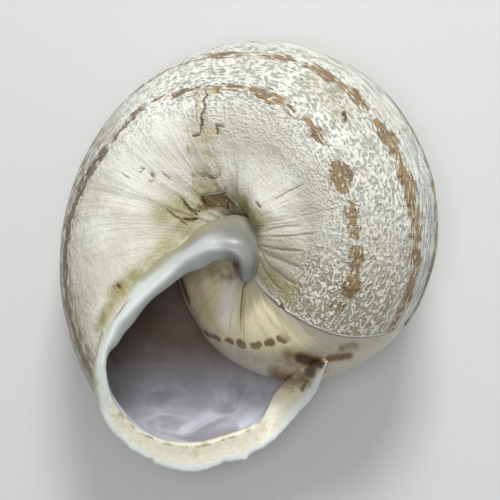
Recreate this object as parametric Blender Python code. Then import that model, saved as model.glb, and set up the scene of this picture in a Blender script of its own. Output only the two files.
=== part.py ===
"""Empty shell of a chocolate-band snail, lying apex down with its mouth up.

The shell is a tube that coils down and round an axis and grows by the same share in each whorl. Every wall
stands on the whorl before it, so one surface runs from the apex to the mouth, and the hollow inside is open
only at the mouth. It is modelled with the apex up, in millimetres, and then laid down at its real size.
"""

import math

import bmesh
import bpy
import numpy as np
from mathutils import Euler, Matrix, Vector

MM = 0.001

# The coil. A turn is one whole whorl, counted from the mouth, so the turns of the shell are negative.
BODY_RADIUS = 15.7  # from the axis to the outermost point of the last whorl, at the mouth
GROWTH = 1.68  # size of each whorl against the one before
WHORLS = 5.25
CENTRE_OUT = 0.448  # a whorl's centre from the axis, as a share of its radius
CENTRE_DOWN = 0.711  # a whorl's centre below the apex, as a share of its radius
BUD_TURNS = 0.3  # stretch in which the first whorl swells from a point
DESCENT = 1.3  # the last whorl turns down by this much before the mouth
DESCENT_TURNS = 0.22

# Outline of a whorl round its centre: degrees above straight outwards, and distance as a share of the radius.
OUTLINE = (
    (-180, 0.412),
    (-145, 0.404),
    (-115, 0.413),
    (-80, 0.484),
    (-40, 0.526),
    (0, 0.548),
    (40, 0.505),
    (75, 0.457),
    (110, 0.415),
)
COLUMELLA = -155  # degrees round the outline where the wall meets the central pillar
FIRST_SEAM = 110  # degrees round the outline where the first whorl starts, next to the axis
WALL = 0.65
NECK_DEPTH = 0.55  # the wall draws in by this much just behind the lip
NECK_TURNS = 0.07

# The mouth slopes: each point of its edge lags behind the seam by degrees round the axis.
MOUTH_LAG = ((-155, -50), (-130, -58), (-105, -60), (-80, -56), (-40, -43), (0, -30), (40, -16), (78, 0))
SLOPE_TURNS = 0.5  # stretch over which growth lines take up the slope of the mouth

# The lip turns outwards: how far it stands out from the wall along the mouth's edge, by the same degrees.
LIP_WIDTH = ((-155, 1.9), (-130, 1.3), (-105, 0.8), (-80, 0.6), (-40, 0.7), (0, 0.75), (40, 0.6), (78, 0.2))
LIP_LENGTH = 1.3  # how far back it is thickened along the wall
LIP_CREST = 0.25  # how far it stands forward of the wall's edge
LIP_BACK = 0.35  # how far its rim curls back
LIP_SIGHT = (60.0, -60.0, -150.0)  # three places round the outline that give the way the mouth faces

# The callus runs on from the lip, closes the navel and turns down along the pillar into the mouth:
# places from the apex and the axis, each with half a width and half a thickness.
CALLUS = (
    (0.6, 2.2, -14.2, 1.15, 0.95),
    (0.1, 0.7, -14.0, 1.35, 1.1),
    (0.3, -0.2, -13.8, 1.3, 1.1),
    (0.8, -0.8, -13.5, 1.15, 1.1),
    (1.6, -0.9, -13.0, 1.0, 1.1),
    (2.3, -0.5, -12.3, 0.85, 1.2),
    (3.0, 0.2, -11.4, 0.6, 1.0),
    (3.9, 0.8, -10.6, 0.35, 0.6),
)
CALLUS_FACING = (0.2, -0.45, -0.87)
CALLUS_SIDES = 10

# Round the navel the last whorl is filled in with shell, deepest where it leaves the pillar.
FILL_DEPTH = 2.6
FILL_TURNS = (-1.14, -0.98, -0.75, -0.4)  # starts, is full, begins to thin out, is gone
FILL_ANGLES = (-85, -135)

# Facets
STEPS = 36  # rows of points in a whorl
BAND_COLUMNS = 4  # columns that stay in sight on the spire
REST_COLUMNS = 12  # columns from the seam of the next whorl to the pillar
HOLLOW_TURNS = 2.25  # depth of the hollow; the small whorls above it are solid
LIP_STEPS = 36
SLIVER = 0.002  # edges shorter than this are closed up
SHARP_EDGE = math.radians(40)
FLOOR_SIZE = 60.0

# How the shell lies: its turn from apex up to the way it rests, and how much of it is worn flat.
REST_TURN = (math.radians(-156.85), math.radians(-3.95), math.radians(-80.13))
FLAT_DEPTH = 0.15

SHELL_COLOUR = (0.78, 0.74, 0.65, 1.0)
SHELL_ROUGHNESS = 0.45


def clear_scene():
    """Removes what the scene starts with."""
    for obj in list(bpy.data.objects):
        bpy.data.objects.remove(obj, do_unlink=True)


def spline(knots):
    """A smooth curve through (place, value) pairs, which bends least at its two ends."""
    place, value = np.array(sorted(knots), float).T
    gap = np.diff(place)
    slope = np.diff(value) / gap
    count = len(place)
    system = np.eye(count)
    wanted = np.zeros(count)
    for k in range(1, count - 1):
        system[k, k - 1 : k + 2] = gap[k - 1], 2 * (gap[k - 1] + gap[k]), gap[k]
        wanted[k] = 6 * (slope[k] - slope[k - 1])
    bend = np.linalg.solve(system, wanted)

    def at(x):
        x = np.clip(np.asarray(x, float), place[0], place[-1])
        k = np.clip(np.searchsorted(place, x) - 1, 0, count - 2)
        left, right, width = x - place[k], place[k + 1] - x, gap[k]
        return (
            (bend[k] * right**3 + bend[k + 1] * left**3) / (6 * width)
            + (value[k] / width - bend[k] * width / 6) * right
            + (value[k + 1] / width - bend[k + 1] * width / 6) * left
        )

    return at


outline = spline(OUTLINE)
mouth_lag = spline(MOUTH_LAG)
lip_width = spline(LIP_WIDTH)


def ease(x):
    """Runs from 0 to 1 with no kink at either end."""
    x = np.clip(x, 0.0, 1.0)
    return x * x * (3 - 2 * x)


def size_at(turn):
    """The whorl's radius, from the axis to its outermost point."""
    return BODY_RADIUS * GROWTH**turn


def bud(turn):
    """Share of its full thickness that the first whorl has reached."""
    start = np.clip((turn + WHORLS) / BUD_TURNS, 0.0, 1.0)
    return np.sqrt(1 - (1 - start) ** 2)


def centre_at(turn):
    """The whorl's centre as (distance from the axis, height)."""
    size = size_at(turn)
    return CENTRE_OUT * size, -CENTRE_DOWN * size - DESCENT * ease(1 + turn / DESCENT_TURNS)


def neck(row_turn):
    """How far the wall is drawn in just behind the lip, on the growth line that ends at this turn of the seam."""
    return NECK_DEPTH * ease(1 + row_turn / NECK_TURNS)


def navel_fill(turn, angle):
    """How much lower the wall lies than its plain outline where the navel is filled in."""
    start, full, thin, gone = FILL_TURNS
    along = ease((turn - start) / (full - start)) * (1 - ease((turn - thin) / (gone - thin)))
    return FILL_DEPTH * along * ease((FILL_ANGLES[0] - angle) / (FILL_ANGLES[0] - FILL_ANGLES[1]))


def section(turn, angle, inset=0.0):
    """A point of the whorl's outline as (distance from the axis, height), moved in by the inset."""
    out, up = centre_at(turn)
    reach = outline(angle) * size_at(turn) * bud(turn) - inset
    return out + reach * np.cos(np.radians(angle)), up + reach * np.sin(np.radians(angle))


def place(turn, angle, inset=0.0):
    """The same point in space, with the whorls turning clockwise as seen from the apex."""
    out, up = section(turn, angle, inset)
    azimuth = 2 * math.pi * turn
    return Vector((float(out * np.cos(azimuth)), float(-out * np.sin(azimuth)), float(up)))


def seam(turn, inset=0.0):
    """Where a whorl's wall meets the whorl before it: degrees round its own outline, and round the other."""
    tries = np.linspace(120.0, 5.0, 461)
    out, up = section(turn, tries, inset)
    before_out, before_up = centre_at(turn - 1)
    across, rise = out - before_out, up - before_up
    on_before = np.degrees(np.arctan2(rise, across))
    clear = np.hypot(across, rise) - outline(on_before) * size_at(turn - 1) * bud(turn - 1)
    inside = np.nonzero(clear < 0)[0]
    if not len(inside) or inside[-1] + 1 >= len(tries):
        nearest = int(np.argmin(np.abs(clear)))
        return float(tries[nearest]), float(on_before[nearest])
    k = inside[-1]
    share = clear[k] / (clear[k] - clear[k + 1])
    return (
        float(tries[k] + share * (tries[k + 1] - tries[k])),
        float(on_before[k] + share * (on_before[k + 1] - on_before[k])),
    )


def turn_at(row, angle, seam_angle):
    """The turn of a point: rows stand upright on the spire and slope back like the mouth's edge near it."""
    turn = row / STEPS - WHORLS
    slope = ease(1 + turn / SLOPE_TURNS)
    span = (angle - COLUMELLA) / (seam_angle - COLUMELLA)
    flat_angle = COLUMELLA + span * (MOUTH_LAG[-1][0] - COLUMELLA)
    return turn + slope * float(mouth_lag(flat_angle)) / 360


class Coil:
    """The wall of the whole shell as one closed mesh."""

    def __init__(self):
        self.mesh = bmesh.new()
        self.last = round(WHORLS * STEPS)
        self.bare = self.last - STEPS  # first row that no later whorl covers
        self.hollow = self.last - round(HOLLOW_TURNS * STEPS)
        self.columns = BAND_COLUMNS + 1 + REST_COLUMNS
        self.outer = {}
        self.inner = {}

    def face(self, *corners):
        """A face with its corners in order, without corners that fall together."""
        ring = [v for k, v in enumerate(corners) if v is not corners[k - 1]]
        if len(ring) > 2:
            self.mesh.faces.new(ring)

    def point(self, turn, angle, inset=0.0, drop=0.0):
        return self.mesh.verts.new(place(turn, angle, inset) - Vector((0.0, 0.0, float(drop))))

    def make_outer(self):
        """Columns run from the seam above, over the next whorl's seam, to the pillar."""
        bud_point = self.point(-WHORLS, 0.0)
        for row in range(self.last + 1):
            turn = row / STEPS - WHORLS
            if row == 0:
                self.outer[row] = [bud_point] * (self.columns + 1)
                continue
            start = seam(turn)[0] if row >= STEPS else FIRST_SEAM
            following = min(turn + 1, 0.0) if row <= self.bare else -DESCENT_TURNS
            next_outer, next_inner = seam(following)[1], seam(following, WALL)[1]
            angles = [
                *np.linspace(start, next_outer, BAND_COLUMNS + 1),
                *np.linspace(next_inner, COLUMELLA, REST_COLUMNS + 1),
            ]
            turns = [turn_at(row, a, start) for a in angles[1:]]
            points = [
                self.point(t, a, neck(turn), navel_fill(t, a)) for t, a in zip(turns, angles[1:])
            ]
            above = self.outer[row - STEPS][BAND_COLUMNS] if row >= STEPS else self.point(turn, start)
            self.outer[row] = [above, *points]

    def make_inner(self):
        """The same rows on the inside of the wall, from the hollow's start to the mouth."""
        for row in range(self.hollow, self.last + 1):
            turn = row / STEPS - WHORLS
            start = seam(turn, WALL)[0]
            depth = WALL + neck(turn)
            angles = np.linspace(start, COLUMELLA, self.columns + 1)
            points = [self.point(turn_at(row, a, start), a, depth) for a in angles[1:]]
            self.inner[row] = [self.outer[row - STEPS][BAND_COLUMNS + 1], *points]

    def skin_outer(self):
        """Bands in sight on the spire, the whole last whorl, and the walls that later whorls enclose."""
        for row in range(self.last):
            here, ahead = self.outer[row], self.outer[row + 1]
            for k in range(self.columns):
                in_sight = k < BAND_COLUMNS or row >= self.bare
                enclosed = k > BAND_COLUMNS and row >= self.hollow - STEPS
                if in_sight or enclosed:
                    self.face(here[k], here[k + 1], ahead[k + 1], ahead[k])

    def skin_inner(self):
        """The inside of the wall, the pillar, and the blind end of the hollow."""
        for row in range(self.hollow, self.last):
            here, ahead = self.inner[row], self.inner[row + 1]
            for k in range(self.columns):
                self.face(here[k], ahead[k], ahead[k + 1], here[k + 1])
            self.face(
                here[-1], ahead[-1], self.outer[row + 1 - STEPS][-1], self.outer[row - STEPS][-1]
            )
        blind = [*self.outer[self.hollow - STEPS][BAND_COLUMNS + 1 :], *reversed(self.inner[self.hollow][1:])]
        self.fan(blind)

    def fan(self, ring):
        """Closes a ring of points with triangles round its middle."""
        middle = self.mesh.verts.new(sum((v.co for v in ring), Vector()) / len(ring))
        for a, b in zip(ring, ring[1:] + ring[:1]):
            self.face(middle, a, b)
        return middle

    def skin_ends(self):
        """The apex, the edge of the mouth, and the navel with the pillar's face below it."""
        tip = self.mesh.verts.new((0.0, 0.0, float(section(1 - WHORLS, FIRST_SEAM)[1])))
        for row in range(STEPS):
            self.face(tip, self.outer[row][0], self.outer[row + 1][0])
        outer, inner = self.outer[self.last], self.inner[self.last]
        for k in range(self.columns):
            self.face(outer[k], outer[k + 1], inner[k + 1], inner[k])
        navel = [self.outer[row][-1] for row in range(self.bare, self.last + 1)]
        middle = self.mesh.verts.new((0.0, 0.0, outer[-1].co.z))
        for a, b in zip(navel, navel[1:]):
            self.face(middle, b, a)
        self.face(middle, navel[0], inner[-1], navel[-1])

    def build(self):
        self.make_outer()
        self.make_inner()
        self.skin_outer()
        self.skin_inner()
        self.skin_ends()
        bmesh.ops.recalc_face_normals(self.mesh, faces=self.mesh.faces)
        return self.mesh


def edge_of_mouth(angle):
    """The point of the mouth's edge at this angle, and the turn it lies at."""
    turn = turn_at(WHORLS * STEPS, angle, seam(0.0)[0])
    return place(turn, angle, NECK_DEPTH), turn


def mouth_facing():
    """The way the mouth faces, from three points spread along its edge."""
    a, b, c = (edge_of_mouth(angle)[0] for angle in LIP_SIGHT)
    facing = (c - a).cross(b - a).normalized()
    return facing if facing.z < 0 else -facing


def make_lip():
    """The turned-out lip as a closed blade along the edge of the mouth."""
    mesh = bmesh.new()
    facing = mouth_facing()
    rings = []
    for angle in np.linspace(seam(0.0)[0] - 1, COLUMELLA + 1, LIP_STEPS + 1):
        here, turn = edge_of_mouth(angle)
        along = edge_of_mouth(angle + 1)[0] - edge_of_mouth(angle - 1)[0]
        ahead = (place(turn + 0.001, angle, NECK_DEPTH) - here).normalized()
        out = facing.cross(along).normalized()
        if out.dot(here - place(turn, angle, NECK_DEPTH + WALL)) < 0:
            out = -out
        width = float(lip_width(angle))
        blade = (
            (-0.55 * WALL, -LIP_LENGTH),
            (-0.93 * WALL, 0.2 * LIP_CREST),
            (-0.1, LIP_CREST),
            (0.6 * width, 0.8 * LIP_CREST),
            (width, -0.2 * LIP_CREST),
            (0.85 * width, -LIP_BACK),
            (0.12, -0.75 * LIP_LENGTH),
        )
        rings.append([mesh.verts.new(here + out * a + ahead * b) for a, b in blade])
    loft(mesh, rings)
    return mesh


def loft(mesh, rings):
    """Joins rings of points into a closed skin with a fan over each end."""
    for one, two in zip(rings, rings[1:]):
        for k in range(len(one)):
            mesh.faces.new((one[k - 1], one[k], two[k], two[k - 1]))
    for ring in (rings[0], rings[-1]):
        middle = mesh.verts.new(sum((v.co for v in ring), Vector()) / len(ring))
        for k in range(len(ring)):
            mesh.faces.new((middle, ring[k - 1], ring[k]))
    bmesh.ops.recalc_face_normals(mesh, faces=mesh.faces)


def make_callus():
    """The smooth patch over the navel and the pillar as one closed strand of flattened rings."""
    mesh = bmesh.new()
    middles = [Vector(row[:3]) for row in CALLUS]
    rings = []
    for k, (_, _, _, half_width, half_thickness) in enumerate(CALLUS):
        along = middles[min(k + 1, len(middles) - 1)] - middles[max(k - 1, 0)]
        side = along.cross(Vector(CALLUS_FACING)).normalized()
        facing = side.cross(along).normalized()
        ring = []
        for step in range(CALLUS_SIDES):
            bearing = 2 * math.pi * step / CALLUS_SIDES
            offset = side * half_width * math.cos(bearing) + facing * half_thickness * math.sin(bearing)
            ring.append(mesh.verts.new(middles[k] + offset))
        rings.append(ring)
    loft(mesh, rings)
    return mesh


def mesh_object(name, mesh):
    """An object from a mesh in millimetres with the apex up, at its real size and lying as it rests."""
    bmesh.ops.scale(mesh, vec=(MM, MM, MM), verts=mesh.verts)
    bmesh.ops.rotate(mesh, cent=(0, 0, 0), matrix=Euler(REST_TURN, "XYZ").to_matrix(), verts=mesh.verts)
    data = bpy.data.meshes.new(name)
    mesh.to_mesh(data)
    mesh.free()
    obj = bpy.data.objects.new(name, data)
    bpy.context.scene.collection.objects.link(obj)
    return obj


def combine(target, other, operation):
    """Applies a boolean of the other object to the target and removes the other."""
    modifier = target.modifiers.new("combine", "BOOLEAN")
    modifier.operation = operation
    modifier.solver = "EXACT"
    modifier.object = other
    bpy.context.view_layer.objects.active = target
    bpy.ops.object.modifier_apply(modifier=modifier.name)
    bpy.data.objects.remove(other, do_unlink=True)


def wear_flat(shell):
    """Sets the shell on the floor with a small flat spot where it rests, middle over the origin."""
    points = [v.co for v in shell.data.vertices]
    low = Vector([min(p[k] for p in points) for k in range(3)])
    high = Vector([max(p[k] for p in points) for k in range(3)])
    drop = low.z + FLAT_DEPTH * MM
    shell.data.transform(Matrix.Translation((-(low.x + high.x) / 2, -(low.y + high.y) / 2, -drop)))
    bpy.ops.mesh.primitive_cube_add(size=FLOOR_SIZE * MM, location=(0, 0, -FLOOR_SIZE / 2 * MM))
    combine(shell, bpy.context.object, "DIFFERENCE")
    mesh = bmesh.new()
    mesh.from_mesh(shell.data)
    bmesh.ops.remove_doubles(mesh, verts=mesh.verts, dist=SLIVER * MM)
    bmesh.ops.dissolve_degenerate(mesh, edges=mesh.edges, dist=SLIVER * MM)
    mesh.to_mesh(shell.data)
    mesh.free()


def shell_material():
    material = bpy.data.materials.new("chalky shell")
    material.use_nodes = True
    surface = material.node_tree.nodes["Principled BSDF"]
    surface.inputs["Base Color"].default_value = SHELL_COLOUR
    surface.inputs["Roughness"].default_value = SHELL_ROUGHNESS
    return material


def main():
    clear_scene()
    shell = mesh_object("shell", Coil().build())
    combine(shell, mesh_object("lip", make_lip()), "UNION")
    combine(shell, mesh_object("callus", make_callus()), "UNION")
    wear_flat(shell)
    shell.data.materials.clear()
    shell.data.materials.append(shell_material())
    bpy.context.view_layer.objects.active = shell
    shell.select_set(True)
    bpy.ops.object.shade_smooth()
    shell.data.set_sharp_from_angle(angle=SHARP_EDGE)
    return shell


if __name__ == "__main__":
    main()
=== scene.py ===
"""Looks of the chocolate-band snail shell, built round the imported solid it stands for.

The shell is one grown piece: a coiled wall, chalky outside and glazed inside, whose mouth ends in a
turned-out lip that runs on as a callus over the navel. Shapes are worked out in millimetres with the apex up,
by the same law of growth as the solid, and are then laid down and set in metres where the solid lies.
"""

import sys

import logging
import math
from collections.abc import Callable, Iterator
from contextlib import contextmanager
from dataclasses import dataclass, field
from enum import Enum
from typing import NamedTuple

import bpy
import numpy as np
from mathutils import Euler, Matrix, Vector


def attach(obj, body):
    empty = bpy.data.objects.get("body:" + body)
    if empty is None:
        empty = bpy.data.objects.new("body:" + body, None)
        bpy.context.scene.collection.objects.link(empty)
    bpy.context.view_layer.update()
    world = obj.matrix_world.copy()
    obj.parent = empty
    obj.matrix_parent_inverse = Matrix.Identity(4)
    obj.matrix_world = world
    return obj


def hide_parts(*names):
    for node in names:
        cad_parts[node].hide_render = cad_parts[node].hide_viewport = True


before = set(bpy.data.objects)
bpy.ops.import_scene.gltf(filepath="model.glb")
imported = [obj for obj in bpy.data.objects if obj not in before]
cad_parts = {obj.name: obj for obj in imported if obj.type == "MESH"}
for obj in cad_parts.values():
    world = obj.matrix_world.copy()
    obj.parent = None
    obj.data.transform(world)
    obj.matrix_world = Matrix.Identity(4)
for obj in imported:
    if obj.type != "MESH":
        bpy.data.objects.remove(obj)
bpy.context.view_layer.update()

log = logging.getLogger("shell")

MM = 0.001
AXIS = (0.0, 0.0, 0.0)
NODE = "shell"
BODY = "root"

Pairs = tuple[tuple[float, float], ...]
Points = np.ndarray
Value = bpy.types.NodeSocket | float | tuple[float, ...]


def spline(knots: Pairs) -> Callable[[Points], Points]:
    """A smooth curve through (place, value) pairs, which bends least at its two ends.

    Args:
        knots: the pairs, in any order.

    Returns:
        A function of an array of places, held at the end values outside them.
    """
    place, value = np.array(sorted(knots), float).T
    gap = np.diff(place)
    slope = np.diff(value) / gap
    count = len(place)
    system = np.eye(count)
    wanted = np.zeros(count)
    for k in range(1, count - 1):
        system[k, k - 1 : k + 2] = gap[k - 1], 2 * (gap[k - 1] + gap[k]), gap[k]
        wanted[k] = 6 * (slope[k] - slope[k - 1])
    bend = np.linalg.solve(system, wanted)

    def at(x: Points) -> Points:
        """The curve's value at each place."""
        x = np.clip(np.asarray(x, float), place[0], place[-1])
        k = np.clip(np.searchsorted(place, x) - 1, 0, count - 2)
        left, right, width = x - place[k], place[k + 1] - x, gap[k]
        return (
            (bend[k] * right**3 + bend[k + 1] * left**3) / (6 * width)
            + (value[k] / width - bend[k] * width / 6) * right
            + (value[k + 1] / width - bend[k + 1] * width / 6) * left
        )

    return at


def ease(x: Points) -> Points:
    """Runs from 0 to 1 with no kink at either end."""
    x = np.clip(x, 0.0, 1.0)
    return x * x * (3 - 2 * x)


def ramp(x: Points, low: float, high: float) -> Points:
    """Runs smoothly from 0 at low to 1 at high, which may be the lower one of the two."""
    return ease((x - low) / (high - low))


def waver(x: Points, y: Points, seed: int) -> Points:
    """Smooth random relief over a sheet, with a period of about one unit each way.

    Args:
        x: first coordinates.
        y: second coordinates.
        seed: picks the pattern.

    Returns:
        Values from -1 to 1.
    """
    side = 64
    table = np.random.default_rng(seed).uniform(-1, 1, (side, side))
    left, low = np.floor(x).astype(int), np.floor(y).astype(int)
    across, up = ease(x - left), ease(y - low)
    corner = [[table[(left + i) % side, (low + j) % side] for j in (0, 1)] for i in (0, 1)]
    near = corner[0][0] * (1 - up) + corner[0][1] * up
    far = corner[1][0] * (1 - up) + corner[1][1] * up
    return near * (1 - across) + far * across


@dataclass(frozen=True)
class Growth:
    """The law of growth: a turn is one whorl, counted back from the mouth; degrees run round its outline."""

    body_radius: float = 15.7
    ratio: float = 1.68
    whorls: float = 5.25
    centre_out: float = 0.448
    centre_down: float = 0.711
    bud_turns: float = 0.3
    descent: float = 1.3
    descent_turns: float = 0.22
    wall: float = 0.65
    neck_depth: float = 0.55
    neck_turns: float = 0.07
    slope_turns: float = 0.5
    columella: float = -155.0
    first_seam: float = 110.0
    pillar_end: float = -203.0
    fill_depth: float = 2.6
    fill_turns: tuple[float, float, float, float] = (-1.14, -0.98, -0.75, -0.4)
    fill_angles: tuple[float, float, float, float] = (-85.0, -135.0, -160.0, -200.0)
    outline: Pairs = (
        (-180, 0.412), (-145, 0.404), (-115, 0.413), (-80, 0.484), (-40, 0.526),
        (0, 0.548), (40, 0.505), (75, 0.457), (110, 0.415),
    )
    mouth_lag: Pairs = (
        (-155, -50), (-130, -58), (-105, -60), (-80, -56), (-40, -43), (0, -30),
        (40, -16), (78, 0),
    )

    def size(self, turn: Points) -> Points:
        """Distance from the axis to the whorl's outermost point."""
        return self.body_radius * self.ratio ** np.asarray(turn, float)

    def bud(self, turn: Points) -> Points:
        """Share of its full thickness that the first whorl has reached."""
        start = np.clip((turn + self.whorls) / self.bud_turns, 0.0, 1.0)
        return np.sqrt(1 - (1 - start) ** 2)

    def centre(self, turn: Points) -> tuple[Points, Points]:
        """The whorl's centre as (distance from the axis, height)."""
        size = self.size(turn)
        descent = self.descent * ease(1 + turn / self.descent_turns)
        return self.centre_out * size, -self.centre_down * size - descent

    def neck(self, row: Points) -> Points:
        """How far the wall is drawn in just behind the lip."""
        return self.neck_depth * ease(1 + row / self.neck_turns)

    def navel_fill(self, turn: Points, angle: Points) -> Points:
        """How much lower the wall lies than its plain outline where the navel is filled in."""
        start, full, thin, gone = self.fill_turns
        first, deep, last, shut = self.fill_angles
        along = ramp(turn, start, full) * (1 - ramp(turn, thin, gone))
        return self.fill_depth * along * ramp(angle, first, deep) * ramp(angle, shut, last)

    def section(self, turn: Points, angle: Points, inset: Points = 0.0) -> tuple[Points, Points]:
        """A point of the whorl's outline as (distance from the axis, height), moved in by the inset."""
        out, up = self.centre(turn)
        reach = spline(self.outline)(angle) * self.size(turn) * self.bud(turn) - inset
        return out + reach * np.cos(np.radians(angle)), up + reach * np.sin(np.radians(angle))

    def place(self, turn: Points, angle: Points, inset: Points = 0.0) -> Points:
        """The same point in space, one row each, with the whorls turning clockwise as seen from the apex."""
        out, up = self.section(turn, angle, inset)
        azimuth = 2 * math.pi * np.asarray(turn, float)
        return np.stack([out * np.cos(azimuth), -out * np.sin(azimuth), up + 0 * out], axis=-1)

    def meeting(self, turn: float, inset: float, tries: Points, fallback: float) -> float:
        """Degrees round a whorl's outline at which it meets the whorl before it.

        Args:
            turn: where the outline is.
            inset: how far inside the outline.
            tries: degrees to look at, from inside the whorl before it to clear of it.
            fallback: the answer where the two never meet.

        Returns:
            The degrees.
        """
        out, up = self.section(turn, tries, inset)
        before_out, before_up = self.centre(turn - 1)
        across, rise = out - before_out, up - before_up
        on_before = np.degrees(np.arctan2(rise, across))
        reach = spline(self.outline)(on_before) * self.size(turn - 1) * self.bud(turn - 1)
        inside = np.nonzero(np.hypot(across, rise) < reach)[0]
        if not len(inside) or inside[-1] + 1 >= len(tries):
            return fallback
        return float(tries[inside[-1]])

    def slanted(self, row: Points, angle: Points, seam: Points) -> Points:
        """The turn of a point on the growth line that ends at this turn of the seam.

        Args:
            row: the growth line's turn at the seam.
            angle: degrees round the outline.
            seam: degrees at which the outline meets the whorl before it.

        Returns:
            The turn, which lags behind the seam's near the mouth.
        """
        first, last = self.columella, self.mouth_lag[-1][0]
        flat_angle = first + (angle - first) / (seam - first) * (last - first)
        return row + ease(1 + row / self.slope_turns) * spline(self.mouth_lag)(flat_angle) / 360


@dataclass(frozen=True)
class Lay:
    """How the shell lies: turned from apex up to the way it rests, and shifted to stand at the origin."""

    turn: tuple[float, float, float] = (math.radians(-156.85), math.radians(-3.95), math.radians(-80.13))
    shift: tuple[float, float, float] = (4.9553, 1.3936, -0.15)

    def down(self, points: Points) -> Points:
        """Points with the apex up as they lie on the floor, in millimetres; what is below it is worn flat."""
        laid = points @ np.array(Euler(self.turn, "XYZ").to_matrix()).T + np.array(self.shift)
        laid[:, 2] = np.maximum(laid[:, 2], 0.0)
        return laid


class Pixel(NamedTuple):
    """A place read off the photograph: pixels from its left and top edge, and millimetres above the floor."""

    right: float
    down: float
    up: float


@dataclass(frozen=True)
class Sight:
    """The photograph's camera, in metres, which also tells where the place that a pixel shows is."""

    place: tuple[float, float, float] = (0.013739, -0.000966, 0.109907)
    turn: tuple[float, float, float] = (math.radians(1.33), math.radians(7.794), math.radians(0.089))
    lens: float = 121.47
    sensor: float = 36.0
    shift: tuple[float, float] = (0.01926, -0.034)
    image_size: int = 500

    def find(self, pixel: Pixel) -> tuple[float, float, float]:
        """The place that a pixel shows, to a hundredth of a millimetre."""
        across = (pixel.right / self.image_size - 0.5 + self.shift[0]) * self.sensor / self.lens
        rise = (0.5 - pixel.down / self.image_size + self.shift[1]) * self.sensor / self.lens
        way = Euler(self.turn, "XYZ").to_matrix() @ Vector((across, rise, -1.0))
        eye = Vector(self.place) / MM
        return tuple(round(value, 2) for value in eye + way * (pixel.up - eye.z) / way.z)


SIGHT = Sight()


def deselect() -> None:
    """Leaves nothing selected."""
    bpy.ops.object.select_all(action="DESELECT")


def activate(piece: bpy.types.Object) -> None:
    """Makes a piece the only one selected."""
    deselect()
    piece.select_set(True)
    bpy.context.view_layer.objects.active = piece


@contextmanager
def editing(piece: bpy.types.Object) -> Iterator[None]:
    """Edit mode with all of a piece selected, and object mode again afterwards."""
    activate(piece)
    bpy.ops.object.mode_set(mode="EDIT")
    bpy.ops.mesh.select_all(action="SELECT")
    yield
    bpy.ops.object.mode_set(mode="OBJECT")


def face_outward(piece: bpy.types.Object) -> None:
    """Turns every face of a closed piece outwards."""
    with editing(piece):
        bpy.ops.mesh.normals_make_consistent(inside=False)


def apply_modifier(piece: bpy.types.Object, kind: str, **settings: float | int | str | bool) -> None:
    """Adds a modifier with these settings to a piece and applies it."""
    activate(piece)
    modifier = piece.modifiers.new(kind.lower(), kind)
    for name, value in settings.items():
        setattr(modifier, name, value)
    bpy.ops.object.modifier_apply(modifier=modifier.name)


def where(piece: bpy.types.Object) -> Points:
    """The places of a piece's points, one row each."""
    flat = np.empty(len(piece.data.vertices) * 3, np.float32)
    piece.data.vertices.foreach_get("co", flat)
    return flat.reshape(-1, 3).astype(float)


def put(piece: bpy.types.Object, points: Points) -> None:
    """Moves a piece's points to these places."""
    piece.data.vertices.foreach_set("co", points.astype(np.float32).ravel())
    piece.data.update()


def note(piece: bpy.types.Object, name: str, values: Points) -> None:
    """Keeps one number, or one row of three, for each point of a piece, for its materials to read.

    Args:
        piece: the piece.
        name: the attribute's name.
        values: the numbers, in the order of the points.
    """
    kind, key = ("FLOAT", "value") if values.ndim == 1 else ("FLOAT_VECTOR", "vector")
    layer = piece.data.attributes.get(name) or piece.data.attributes.new(name, kind, "POINT")
    layer.data.foreach_set(key, np.ascontiguousarray(values, np.float32).ravel())


def read(piece: bpy.types.Object, name: str) -> Points:
    """The numbers kept under this name for each point."""
    flat = np.empty(len(piece.data.vertices), np.float32)
    piece.data.attributes[name].data.foreach_get("value", flat)
    return flat.astype(float)


def pick_faces(piece: bpy.types.Object, wanted: Points) -> None:
    """Selects the faces marked in a row of yes and no, and enters edit mode in face mode."""
    activate(piece)
    bpy.ops.object.mode_set(mode="EDIT")
    bpy.ops.mesh.select_mode(type="FACE")
    bpy.ops.mesh.select_all(action="DESELECT")
    bpy.ops.object.mode_set(mode="OBJECT")
    piece.data.polygons.foreach_set("select", wanted)
    bpy.ops.object.mode_set(mode="EDIT")


def face_mean(piece: bpy.types.Object, values: Points) -> Points:
    """The mean over each face's corners of a number kept for each point."""
    mesh = piece.data
    corner = np.empty(len(mesh.loops), np.int32)
    mesh.loops.foreach_get("vertex_index", corner)
    start = np.empty(len(mesh.polygons), np.int32)
    count = np.empty(len(mesh.polygons), np.int32)
    mesh.polygons.foreach_get("loop_start", start)
    mesh.polygons.foreach_get("loop_total", count)
    return np.add.reduceat(values[corner], start) / count


def outward(piece: bpy.types.Object) -> Points:
    """The way each point of a piece faces."""
    flat = np.empty(len(piece.data.vertices) * 3, np.float32)
    piece.data.vertex_normals.foreach_get("vector", flat)
    return flat.reshape(-1, 3).astype(float)


def linear(red: int, green: int, blue: int) -> tuple[float, float, float, float]:
    """A screen colour, 0 to 255 each, as the colour that shaders use."""
    share = np.array([red, green, blue]) / 255
    values = np.where(share <= 0.04045, share / 12.92, ((share + 0.055) / 1.055) ** 2.4)
    return (*(float(v) for v in values), 1.0)


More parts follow.
